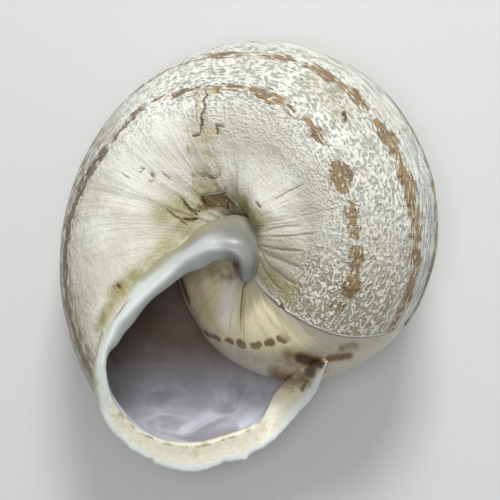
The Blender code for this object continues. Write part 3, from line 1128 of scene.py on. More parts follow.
INNER_BLOTCHES = (
    Blotch(-0.375, -0.45, 0.22),
    Blotch(-0.448, -0.5, 0.3),
    Blotch(-0.503, -0.553, 0.28),
    Blotch(-0.556, -0.602, 0.5),
    Blotch(-0.6, -0.62, 0.22),
    Blotch(-0.625, -0.678, 0.32),
    Blotch(-0.69, -0.735, 0.62),
    Blotch(-0.74, -0.766, 0.4),
    Blotch(-0.766, -0.792, 0.4),
    Blotch(-0.794, -0.831, 0.4),
    Blotch(-0.831, -0.864, 0.6),
    Blotch(-0.868, -0.888, 0.4),
    Blotch(-0.943, -0.961, 0.24),
    Blotch(-0.965, -0.988, 0.27),
    Blotch(-0.989, -1.014, 0.27),
    Blotch(-1.015, -1.04, 0.28),
    Blotch(-1.043, -1.066, 0.26),
    Blotch(-1.069, -1.09, 0.26),
    Blotch(-1.095, -1.12, 0.18),
)
OUTER_BLOTCHES = (
    Blotch(-0.36, -0.49, 0.25),
    Blotch(-0.485, -0.535, 0.36),
    Blotch(-0.535, -0.583, 0.32),
    Blotch(-0.585, -0.638, 0.42),
    Blotch(-0.635, -0.664, 0.42),
    Blotch(-0.668, -0.714, 0.58),
    Blotch(-0.71, -0.795, 0.62),
    Blotch(-0.79, -0.825, 0.5),
    Blotch(-0.822, -0.87, 0.45),
)
UPPER_SIDE = 5.0
FAR_OFF = 9.0
PLATES = (
    Patch(-1.8, 9.3, 0.7),
    Patch(-1.8, 8.2, 0.8),
    Patch(-1.7, 7.2, 0.9),
    Patch(-1.8, 6.2, 1.0),
    Patch(-1.7, 5.2, 1.0),
    Patch(-1.6, 4.2, 1.0),
    Patch(-3.0, 2.8, 0.9),
)
STROKES = (
    Stroke(
        Mark.CRACK,
        (
            (-1.8, 9.7), (-1.6, 9.35), (-1.9, 9.05), (-1.7, 8.8), (-1.95, 8.1),
            (-1.85, 7.8), (-2.0, 7.5), (-2.0, 7.05),
        ),
        0.04,
    ),
    Stroke(Mark.CRACK, ((-2.0, 7.05), (-2.5, 7.0)), 0.03),
    Stroke(Mark.CRACK, ((-1.1, 7.65), (-0.55, 7.45)), 0.03),
    Stroke(Mark.CRACK, ((-1.0, 7.65), (-0.95, 7.0)), 0.04),
    Stroke(Mark.STAIN, ((-2.3, 6.3), (-1.9, 5.95), (-1.4, 5.85), (-1.1, 5.6)), 0.0, 0.05),
    Stroke(Mark.CRACK, ((-2.25, 4.7), (-1.5, 4.6), (-1.35, 4.5), (-0.9, 4.65)), 0.03),
    Stroke(Mark.STAIN, ((-5.75, 5.1), (-5.5, 5.15), (-5.85, 4.75)), 0.0),
    Stroke(Mark.STAIN, ((-5.05, 4.85), (-4.95, 4.65)), 0.06, 0.12),
    Stroke(Mark.FOLD, ((-5.2, 4.4), (-4.95, 4.3), (-4.8, 4.55)), 0.0, 0.1),
    Stroke(Mark.FOLD, ((-6.9, 4.9), (-6.4, 4.5)), 0.0, 0.1),
    Stroke(Mark.FOLD, ((-4.4, 4.9), (-3.9, 4.4)), 0.0, 0.1),
    Stroke(Mark.STAIN, ((-1.95, 3.3), (-1.3, 3.3), (-0.75, 3.4)), 0.2, 0.1),
    Stroke(Mark.STAIN, ((-1.85, 2.95), (-1.3, 2.95), (-0.75, 3.05)), 0.2, 0.1),
    Stroke(Mark.CRACK, ((-2.15, 3.5), (-0.9, 3.62), (-0.65, 3.7)), 0.04, 0.12),
    Stroke(Mark.CRACK, ((-0.65, 3.45), (-0.4, 3.2), (-0.05, 2.85)), 0.06, 0.15),
    Stroke(Mark.CRACK, ((-2.1, 3.5), (-2.0, 3.1), (-1.8, 2.65)), 0.05, 0.15),
    Stroke(Mark.CRACK, ((-0.55, 3.3), (-0.65, 2.65)), 0.03),
    Stroke(Mark.CRACK, ((-3.2, 3.3), (-2.75, 2.7), (-2.5, 2.55), (-2.35, 2.4)), 0.05, 0.15),
    Stroke(Mark.CRACK, ((-2.5, 2.55), (-2.2, 2.7), (-2.15, 2.95)), 0.04, 0.12),
    Stroke(Mark.CRACK, ((-3.2, 2.15), (-2.75, 2.05), (-2.35, 2.2)), 0.05, 0.12),
    Stroke(Mark.STAIN, ((-4.2, 2.75), (-3.35, 2.1), (-2.9, 1.8)), 0.02, 0.08),
    Stroke(Mark.CRACK, ((6.5, 8.3), (6.55, 7.7)), 0.07, 0.2),
    Stroke(Mark.CRACK, ((5.5, 9.7), (6.25, 8.8), (6.5, 8.2)), 0.0, 0.03),
    Stroke(Mark.CRACK, ((3.75, 10.3), (4.05, 10.25)), 0.02),
    Stroke(Mark.CRACK, ((7.2, 3.7), (7.9, 3.85), (8.7, 4.3), (8.85, 4.6)), 0.0, 0.04),
    Stroke(Mark.CRACK, ((9.5, 6.95), (10.2, 7.55)), 0.01, 0.05),
    Stroke(Mark.STAIN, ((2.25, 3.05), (3.1, 3.6), (4.6, 4.25)), 0.0, 0.04, 0.01),
    Stroke(Mark.CRACK, ((1.35, 3.05), (1.7, 2.75)), 0.04),
    Stroke(Mark.FOLD, ((1.8, 1.3), (2.35, 1.45), (3.1, 1.6), (3.95, 1.65)), 0.0, 0.1, 0.02),
    Stroke(Mark.FOLD, ((2.1, 1.05), (3.1, 1.05), (4.05, 1.15), (4.85, 1.25)), 0.0, 0.1, 0.02),
    Stroke(Mark.FOLD, ((1.45, 0.55), (2.25, 0.35), (3.1, 0.25), (4.05, 0.25)), 0.02, 0.12, 0.02),
    Stroke(Mark.FOLD, ((1.5, 0.35), (2.0, 0.0), (2.7, -0.3), (3.3, -0.55), (4.05, -0.85)), 0.02, 0.14, 0.02),
    Stroke(Mark.FOLD, ((1.45, 0.2), (1.8, -0.4), (2.35, -0.95), (3.0, -1.45), (3.55, -1.75)), 0.0, 0.1, 0.02),
    Stroke(Mark.FOLD, ((1.4, -0.3), (1.7, -1.05), (2.2, -1.75), (2.75, -2.1)), 0.0, 0.08, 0.02),
    Stroke(Mark.FOLD, ((0.65, -1.6), (1.0, -2.65), (1.8, -3.7), (3.15, -5.0)), 0.0, 0.03, 0.01),
    Stroke(Mark.FOLD, ((0.75, -1.45), (1.3, -2.5), (2.45, -3.65), (4.05, -5.3)), 0.0, 0.03, 0.01),
    Stroke(Mark.FOLD, ((0.9, -1.5), (1.6, -2.6), (2.7, -3.9), (4.3, -5.4)), 0.0, 0.03, 0.01),
    Stroke(Mark.FOLD, ((0.7, -1.7), (1.2, -2.9), (2.1, -4.2), (3.7, -5.6)), 0.0, 0.03, 0.01),
    Stroke(Mark.FOLD, ((0.55, -1.75), (0.65, -2.95), (1.1, -4.15), (2.0, -5.3)), 0.0, 0.03, 0.01),
    Stroke(Mark.STAIN, ((0.55, -1.0), (0.1, -2.05), (0.0, -3.25), (0.0, -4.9)), 0.03, 0.06, 0.01),
    Stroke(Mark.STAIN, ((-4.3, -1.4), (-3.9, -2.5), (-3.25, -3.45)), 0.12, 0.04, 0.01),
    Stroke(Mark.CRACK, ((2.6, -2.9), (2.7, -3.15)), 0.08, 0.12),
    Stroke(Mark.CRACK, ((-6.9, -1.7), (-6.8, -1.95)), 0.05),
)
# painted highlight on the soft ridge under the callus
RIDGE_HIGHLIGHT = (Patch(-0.8, -1.7, 0.6, 1.0, (-0.95, -3.9)),)
SWATH = (Patch(0.8, -1.9, 0.5, 0.9, (1.9, -3.8)), Patch(1.9, -3.8, 0.6, 0.9, (3.2, -5.0)))
# painted light: whiter chalk at the upper left, where the light falls brightest
LIT_CHALK = (Patch(-5.0, 8.6, 2.4, 1.0, (-2.6, 10.2)), Patch(-7.0, 6.4, 1.8, 0.7))
YELLOW_AND_SHADE = (
    Patch(-2.7, 2.1, 0.8, 1.0, (-4.1, 0.5)),
    Patch(-4.1, 0.5, 0.7, 1.0, (-5.6, -1.0)),
    Patch(-5.6, -1.0, 0.6, 1.2, (-7.0, -2.4)),
    Patch(-7.0, -2.4, 0.45, 1.0, (-8.0, -4.2)),
    Patch(-2.4, 3.0, 0.9, 0.8, (-1.6, 4.4)),
    Patch(-1.9, 2.9, 1.1, 0.9, (-0.4, 3.0)),
    Patch(-3.3, 2.9, 0.8, 1.0, (-4.3, 2.4)),
    Patch(0.5, -6.0, 0.9, 0.5, (2.6, -6.3)),
    Patch(0.4, 2.8, 0.8, 1.2, (1.5, 1.9)),
    Patch(1.7, 0.6, 0.9, 0.7, (3.2, 0.2)),
    Patch(1.6, -0.6, 0.9, 1.0, (3.0, -2.0)),
    Patch(-2.2, 7.9, 0.8, 0.5, (-2.0, 6.5)),
    Patch(-2.0, 6.0, 0.9, 0.6, (-1.5, 4.2)),
    Patch(5.8, 9.0, 0.7, 0.5, (6.5, 8.0)),
    Patch(4.5, 10.2, 0.8, 0.4),
    # painted shade: darkens the wall's lower left, which turns away from the light
    Patch(-9.7, -3.2, 1.3, 0.5, (-9.2, -5.6)),
)
CORNER_YELLOW = (
    Patch(2.2, -7.8, 1.3, 0.65, (3.6, -6.9)),
    Patch(1.6, -8.9, 0.9, 0.4, (2.6, -8.6)),
    Patch(4.4, -6.3, 0.8, 0.8),
)
CORNER_BROWN = (
    Patch(3.0, -6.0, 0.75, 0.45, (4.6, -6.5)),
    Patch(2.0, -7.3, 0.8, 0.6, (3.6, -7.4)),
    Patch(2.1, -7.25, 0.3, 0.5, (3.4, -7.25)),
    Patch(2.6, -7.8, 0.4, 0.4, (3.3, -7.2)),
    Patch(3.6, -6.1, 0.4, 1.1, (4.8, -6.4)),
    Patch(4.5, -6.4, 0.4, 1.1, (4.1, -7.0)),
    Patch(3.9, -7.5, 0.2, 0.7, (3.5, -8.1)),
    Patch(5.4, -6.1, 0.3, 0.7, (6.6, -5.9)),
    Patch(6.2, -5.5, 0.3, 0.5, (7.0, -5.3)),
)
BROWN = (
    Patch(-0.6, 2.75, 0.5, 0.4, (0.2, 2.5)),
    Patch(-1.9, -1.0, 0.6, 0.45, (-0.9, -1.1)),
    Patch(2.2, 6.2, 0.35, 0.3, (2.5, 5.95)),
    Patch(-6.95, -1.75, 0.22, 0.45, (-7.1, -1.95)),
    Patch(-7.7, -3.4, 0.2, 0.35, (-7.8, -3.8)),
)


@dataclass(frozen=True)
class Ripple:
    """A wavering of the wall: waves in a turn, degrees to a wave, its seed and its height in millimetres."""

    pace: float
    degrees: float
    seed: int
    height: float

    def over(self, turn: Points, angle: Points) -> Points:
        """How high the ripple stands at each point."""
        return waver(turn * self.pace, angle / self.degrees, self.seed) * self.height


@dataclass
class Wall:
    """The coiled wall, pulled round the axis from one outline and set on the law of growth."""

    growth: Growth
    lay: Lay
    circle_points: int = 48
    first_column: float = 90.0
    last_column: float = -202.5
    guide_reach: float = 0.42
    spire_rows: int = 28
    body_rows: int = 70
    body_turns: float = 1 + 1 / 7
    kept_turns: float = 1.5
    kept_angle: float = 20.0
    seam_bite: float = 3.5
    stroke_passes: Pairs = ((0.14, 0.0), (0.06, 0.08))
    flare: float = 0.85
    flare_angle: float = -52.0
    flare_spread: float = 20.0
    set_back: float = 0.009
    set_back_turns: float = 0.1
    full_wall_from: float = -0.9
    upper_meeting: tuple[float, float, float] = (120.0, 5.0, 80.0)
    pillar_meeting: tuple[float, float] = (-240.0, -150.0)
    sunk: float = 0.09
    relief_turns: tuple[float, float] = (-1.9, -1.6)
    last_whorl: tuple[float, float] = (-1.15, -1.05)
    ridges: tuple[Ripple, ...] = (Ripple(62, 60, 3, 0.022), Ripple(27, 80, 4, 0.03))
    navel_angles: tuple[float, float] = (-68.0, -98.0)
    navel_folds: Ripple = Ripple(30, 70, 5, 0.11)
    folds_end: tuple[float, float] = (-0.88, -0.93)
    navel_swells: Ripple = Ripple(13, 90, 9, 0.09)
    dent_size: float = 1.3
    dent_depth: float = 0.02
    edge_roll: tuple[float, float] = (0.05, 0.12)
    edge_step: tuple[float, float] = (0.06, 0.15)
    cut_width: float = 0.06
    worn_floor: float = 0.03
    inner_band: Pairs = (
        (-1.3, -34), (-1.125, -37.6), (-1.096, -47.4), (-1.056, -53.5), (-1.015, -57.2),
        (-0.98, -59.5), (-0.946, -61.0), (-0.851, -52.2), (-0.79, -56.7),
        (-0.716, -59.4), (-0.558, -58), (-0.487, -57.8), (-0.423, -54.2),
        (-0.376, -57.5), (-0.343, -55), (-0.302, -52.4), (-0.248, -50), (0, -46),
    )
    outer_band: Pairs = (
        (-1.0, -9), (-0.829, -13), (-0.746, -19.3), (-0.584, -28), (-0.538, -31),
        (-0.45, -30), (-0.3, -24), (0, -22),
    )
    upper_bands: tuple[float, float, float] = (8.0, 34.0, 58.0)
    upper_width: float = 0.4
    band_width: float = 0.25
    left_widening: float = 0.2
    left_turns: tuple[float, float] = (-0.4, -0.34)
    callus_edge: Pairs = (
        (-160, -0.995), (-97, -0.976), (-90, -0.964), (-74, -0.94), (-64.5, -0.929),
        (-52.3, -0.9185), (-36, -0.906), (-24.7, -0.896), (-10.3, -0.885),
        (4.6, -0.877), (30, -0.9),
    )
    glaze_top: float = 36.0
    turn_length: float = 75.0
    degree_length: float = 0.115
    rim_angles: tuple[float, float] = (-25.0, -3.0)
    left_rim_angles: tuple[float, float] = (-66.0, -54.0)
    left_rim_turns: tuple[float, float] = (-0.43, -0.36)
    worm_angle: float = -82.0
    worm_width: float = 24.0
    worm_drop: float = 26.0
    worm_drop_turns: tuple[float, float] = (-0.76, -0.84)
    worm_fade: float = 0.75
    worm_fade_turns: tuple[float, float] = (-0.42, -0.32)
    tan_turns: tuple[float, float] = (-0.72, -0.87)

    def build(self, chalk: bpy.types.Material, glaze: bpy.types.Material) -> bpy.types.Object:
        """Makes the finished piece.

        Args:
            chalk: the finish of the outside.
            glaze: the finish of the inside.

        Returns:
            The wall.
        """
        piece = self.pull(chalk, glaze)
        self.count_rows(piece)
        self.drop_hidden(piece)
        self.thicken(piece)
        self.refine(piece)
        self.set_on_growth(piece)
        self.refine_strokes(piece)
        self.add_relief(piece)
        self.paint(piece)
        activate(piece)
        bpy.ops.object.shade_smooth()
        return piece

    def pull(self, chalk: bpy.types.Material, glaze: bpy.types.Material) -> bpy.types.Object:
        """Pulls the open outline round the axis, a little larger each time.

        Args:
            chalk: the finish of the outside.
            glaze: the finish of the inside.

        Returns:
            A sheet that stands on a plain spiral.
        """
        deselect()
        bpy.ops.mesh.primitive_circle_add(
            vertices=self.circle_points,
            radius=self.guide_reach,
            location=(self.growth.centre_out, 0, -self.growth.centre_down),
            rotation=(math.pi / 2, 0, 0),
        )
        piece = bpy.context.object
        piece.name = piece.data.name = "shell_wall"
        piece.data.materials.append(chalk)
        piece.data.materials.append(glaze)
        bpy.ops.object.transform_apply(location=True, rotation=True, scale=True)
        out, _, up = where(piece).T
        angle = np.degrees(np.arctan2(up + self.growth.centre_down, out - self.growth.centre_out))
        gap = (angle > self.first_column + 1) & (angle < self.last_column + 359)
        bpy.ops.object.mode_set(mode="EDIT")
        bpy.ops.mesh.select_mode(type="VERT")
        bpy.ops.mesh.select_all(action="DESELECT")
        bpy.ops.object.mode_set(mode="OBJECT")
        piece.data.vertices.foreach_set("select", gap)
        bpy.ops.object.mode_set(mode="EDIT")
        bpy.ops.mesh.delete(type="VERT")
        bpy.ops.mesh.select_all(action="SELECT")
        ratio, whorls = self.growth.ratio, self.growth.whorls
        bpy.ops.transform.resize(value=(ratio**-whorls,) * 3, center_override=AXIS)
        bpy.ops.transform.rotate(value=-2 * math.pi * whorls, orient_axis="Z", center_override=AXIS)
        spire = round((whorls - self.body_turns) * self.spire_rows)
        body = round(self.body_turns * self.body_rows)
        for rows, pace in ((spire, self.spire_rows), (body, self.body_rows)):
            for _ in range(rows):
                bpy.ops.mesh.extrude_region_move(TRANSFORM_OT_translate={"value": (0, 0, 0)})
                bpy.ops.transform.rotate(value=2 * math.pi / pace, orient_axis="Z", center_override=AXIS)
                bpy.ops.transform.resize(value=(ratio ** (1 / pace),) * 3, center_override=AXIS)
        bpy.ops.mesh.select_all(action="SELECT")
        bpy.ops.mesh.flip_normals()
        bpy.ops.object.mode_set(mode="OBJECT")
        return piece

    def count_rows(self, piece: bpy.types.Object) -> None:
        """Reads back from each point's place its turn round the coil and where on the outline it is."""
        points = where(piece)
        radius = np.hypot(points[:, 0], points[:, 1])
        part_turn = -np.arctan2(points[:, 1], points[:, 0]) / (2 * math.pi)
        best = np.full(len(points), np.inf)
        row = np.zeros(len(points))
        column = np.zeros(len(points))
        for whole in range(-6, 2):
            turn = part_turn + whole
            size = self.growth.ratio**turn
            across = radius - self.growth.centre_out * size
            rise = points[:, 2] + self.growth.centre_down * size
            miss = np.abs(np.hypot(across, rise) / size - self.guide_reach)
            angle = np.degrees(np.arctan2(rise, across))
            angle = np.where(angle > self.first_column + 1, angle - 360, angle)
            closer = miss < best
            best = np.where(closer, miss, best)
            row = np.where(closer, turn, row)
            share = (self.first_column - angle) / (self.first_column - self.last_column)
            column = np.where(closer, share, column)
        log.info("the coil's points are read back to within %.5f of a radius", best.max())
        note(piece, "row", row)
        note(piece, "column", column)

    def drop_hidden(self, piece: bpy.types.Object) -> None:
        """Removes the walls deep inside the spire, which later whorls hide."""
        row, column = (face_mean(piece, read(piece, name)) for name in ("row", "column"))
        angle = self.first_column + column * (self.last_column - self.first_column)
        pick_faces(piece, (row < -self.kept_turns) & (angle < self.kept_angle))
        bpy.ops.mesh.delete(type="FACE")
        bpy.ops.object.mode_set(mode="OBJECT")

    def thicken(self, piece: bpy.types.Object) -> None:
        """Gives the wall an inner side, with its own slot, and marks its points as deep."""
        outer = len(piece.data.vertices)
        apply_modifier(piece, "SOLIDIFY", thickness=0.01, material_offset=1, material_offset_rim=1)
        note(piece, "depth", (np.arange(len(piece.data.vertices)) >= outer).astype(float))

    def refine(self, piece: bpy.types.Object) -> None:
        """Cuts the outside of the last whorl finest, and the inside only near the mouth."""
        spire = -self.body_turns
        areas = ((3, spire, 1.0, 0.0), (2, -2.2, spire, 0.0), (1, -6.0, -2.2, 0.0), (1, -0.5, 1.0, 1.0))
        for cuts, low, high, deep in areas:
            row = face_mean(piece, read(piece, "row"))
            depth = face_mean(piece, read(piece, "depth"))
            pick_faces(piece, (row > low) & (row < high) & (np.abs(depth - deep) < 0.01))
            bpy.ops.mesh.subdivide(number_cuts=cuts)
            bpy.ops.object.mode_set(mode="OBJECT")

    def refine_strokes(self, piece: bpy.types.Object) -> None:
        """Cuts the outside finer along the cracks and folds, and finer again at the deep ones."""
        for reach, least in self.stroke_passes:
            points = where(piece) / MM
            nearest = np.min([stroke.distance(points) for stroke in STROKES if stroke.depth >= least], axis=0)
            near = (face_mean(piece, nearest) < reach) & (face_mean(piece, read(piece, "depth")) < 0.01)
            pick_faces(piece, near)
            bpy.ops.mesh.subdivide(number_cuts=1)
            bpy.ops.object.mode_set(mode="OBJECT")
            self.set_on_growth(piece)

    def seams(self, row: Points, inset: float) -> tuple[Points, Points]:
        """Degrees at which the outline meets the whorl before it, above and at the pillar.

        Args:
            row: turns of the growth lines.
            inset: how far inside the outline.

        Returns:
            Two rows of degrees.
        """
        turns = np.linspace(-self.growth.whorls, 0.0, 211)
        first, last, fallback = self.upper_meeting
        upper_tries, lower_tries = np.linspace(first, last, 461), np.linspace(*self.pillar_meeting, 361)
        above, below = [], []
        for turn in turns:
            early = turn < 1 - self.growth.whorls
            upper = self.growth.meeting(turn, inset, upper_tries, fallback)
            lower = self.growth.meeting(turn, inset, lower_tries, self.growth.pillar_end)
            above.append(self.growth.first_seam if early else upper)
            below.append(self.growth.pillar_end if early else lower)
        return np.interp(row, turns, above), np.interp(row, turns, below)

    def set_on_growth(self, piece: bpy.types.Object) -> None:
        """Moves every point to its place on the real wall."""
        growth = self.growth
        row, column, depth = (read(piece, name) for name in ("row", "column", "depth"))
        outer_top, outer_end = self.seams(row, 0.0)
        inner_top, inner_end = self.seams(row, growth.wall)
        top = outer_top + depth * (inner_top - outer_top)
        end = outer_end + depth * (inner_end - outer_end)
        row = row - self.set_back * ease(1 + row / self.set_back_turns)
        upper, lower = top + self.seam_bite, end - self.seam_bite
        angle = upper + column * (lower - upper)
        turn = growth.slanted(row, angle, top)
        flared = 1 - self.flare * np.exp(-(((angle - self.flare_angle) / self.flare_spread) ** 2))
        wall = growth.wall * np.minimum(1.0, growth.size(turn) / growth.size(self.full_wall_from))
        points = growth.place(turn, angle, growth.neck(row) * flared + depth * wall)
        points[:, 2] -= (1 - depth) * growth.navel_fill(turn, angle)
        put(piece, self.lay.down(points) * MM)
        note(piece, "turn", turn)
        note(piece, "angle", angle)

    def add_relief(self, piece: bpy.types.Object) -> None:
        """Raises growth ridges, folds round the navel, dents and the callus edge on the outside."""
        row, turn, angle, depth = (read(piece, name) for name in ("row", "turn", "angle", "depth"))
        outside = (1 - depth) * ramp(turn, *self.relief_turns)
        ridges = sum(ripple.over(row, angle) for ripple in self.ridges)
        folds = -np.abs(self.navel_folds.over(turn, angle)) * (1 - ramp(turn, *self.folds_end))
        folds = (folds + self.navel_swells.over(turn, angle)) * ramp(angle, *self.navel_angles)
        points = where(piece) / MM
        x, y, z = points.T
        dents = waver(x / self.dent_size, y / self.dent_size + z, 6) * self.dent_depth
        off = self.edge_distance(turn, angle)
        (height, width), (drop, run) = self.edge_roll, self.edge_step
        lift = height * np.exp(-(((off + width) / width) ** 2)) - drop * ease(off / run)
        cut = np.zeros(len(points))
        for stroke in STROKES:
            cut = np.maximum(cut, stroke.depth * np.exp(-((stroke.distance(points) / self.cut_width) ** 2)))
        relief = outside * (ramp(turn, *self.last_whorl) * (ridges + dents + folds + lift) - cut)
        moved = points + outward(piece) * (relief - self.sunk * outside)[:, None]
        moved[:, 2] = np.maximum(moved[:, 2], self.worn_floor * depth)
        put(piece, moved * MM)

    def edge_distance(self, turn: Points, angle: Points) -> Points:
        """Millimetres into the glazed side of the callus edge."""
        radius = self.growth.section(turn, angle)[0]
        along = (spline(self.callus_edge)(angle) - turn) * 2 * math.pi * np.maximum(radius, 0.5)
        below_seam = np.radians(self.glaze_top - angle) * spline(self.growth.outline)(angle)
        return np.minimum(along, below_seam * self.growth.size(turn))

    def band_edge(self, off: Points, turn: Points, blotches: tuple[Blotch, ...]) -> Points:
        """Millimetres inside a band's edge.

        Args:
            off: millimetres from the band's centre line.
            turn: where along the coil.
            blotches: the band's blotches.

        Returns:
            The distances, negative outside the band.
        """
        half = np.max([blotch.reach(turn) for blotch in blotches], axis=0)
        listed = (turn < max(b.start for b in blotches)) & (turn > min(b.end for b in blotches))
        wider = self.band_width + self.left_widening * ramp(turn, *self.left_turns)
        return np.where(listed, half, wider) - np.abs(off)

    def paint(self, piece: bpy.types.Object) -> None:
        """Keeps for each point what the finishes need to know about its place."""
        row, turn, angle = (read(piece, name) for name in ("row", "turn", "angle"))
        reach = np.radians(spline(self.growth.outline)(angle) * self.growth.size(turn))
        note(piece, "growth", np.stack([row * self.turn_length, angle * self.degree_length, 0 * row], axis=1))
        inner = self.band_edge((angle - spline(self.inner_band)(turn)) * reach, turn, INNER_BLOTCHES)
        outer = self.band_edge((angle - spline(self.outer_band)(turn)) * reach, turn, OUTER_BLOTCHES)
        note(piece, "bands_below", np.stack([inner, outer, 0 * row], axis=1))
        above = [self.upper_width - np.abs(angle - up) * reach for up in self.upper_bands]
        note(piece, "bands_above", np.stack(above, axis=1))
        points = where(piece) / MM
        left_rim = ramp(angle, *self.left_rim_angles) * ramp(turn, *self.left_rim_turns)
        rim = np.maximum(ramp(angle, *self.rim_angles), left_rim)
        start = self.worm_angle - self.worm_drop * ramp(turn, *self.worm_drop_turns)
        worm = ease((angle - start) / self.worm_width)
        worm *= 1 - self.worm_fade * ramp(turn, *self.worm_fade_turns)
        plates = strongest(PLATES, points)
        note(piece, "cover", np.stack([worm, plates, rim], axis=1))
        tan = ramp(turn, *self.tan_turns)
        # yellow dirt, with one patch of painted shade at the lower left
        yellow = strongest(YELLOW_AND_SHADE + CORNER_YELLOW, points)
        brown = strongest(BROWN + CORNER_BROWN, points)
        note(piece, "dirt", np.stack([yellow, brown, tan], axis=1))
        # the ridge highlight and the lit chalk are painted light; the swath is a bright stretch of glaze
        sheen = [strongest(patches, points) for patches in (RIDGE_HIGHLIGHT, SWATH, LIT_CHALK)]
        note(piece, "sheen", np.stack(sheen, axis=1))
        note(piece, "callus_edge", self.edge_distance(turn, angle))
        offs = []
        for mark in Mark:
            offs.append(np.min([s.distance(points) for s in STROKES if s.mark is mark], axis=0))
        note(piece, "strokes", np.stack(offs, axis=1))


@dataclass(frozen=True)
class Rib:
    """A cross-section of the lip or the callus as it lies, from the mouth's inner rim to its outer edge.

    The crest stands at a share of the way across, at a height above it, and the root reaches down below it.
    """

    inner: tuple[float, float, float]
    outer: tuple[float, float, float]
    share: float
    height: float
    root: float

    @classmethod
    def seen(cls, inner: Pixel, outer: Pixel, share: float, height: float, root: float) -> "Rib":
        """A rib whose inner rim and outer edge were read off the photograph."""
        return cls(SIGHT.find(inner), SIGHT.find(outer), share, height, root)

    def values(self) -> tuple[float, ...]:
        """The rib's numbers in a row."""
        return (*self.inner, *self.outer, self.share, self.height, self.root)


@dataclass(frozen=True)
class Step:
    """A stretch of the lip's edge that stands out: the ribs where it sets in and ends, and how far."""

    rise: tuple[float, float]
    fall: tuple[float, float]
    height: float

    def reach(self, rib: Points) -> Points:
        """How far out the edge stands at each rib."""
        return self.height * (ramp(rib, *self.rise) - ramp(rib, *self.fall))


@dataclass(frozen=True)
class Wave:
    """A wavering of the lip's edge: where it sets in and ends, waves to a rib, its seed and height."""

    rise: tuple[float, float]
    fall: tuple[float, float]
    pace: float
    seed: int
    height: float

    def reach(self, rib: Points) -> Points:
        """How far out the edge stands at each rib."""
        fading = ramp(rib, *self.fall) * ramp(rib, *self.rise)
        return self.height * waver(rib * self.pace, 0 * rib, self.seed) * fading


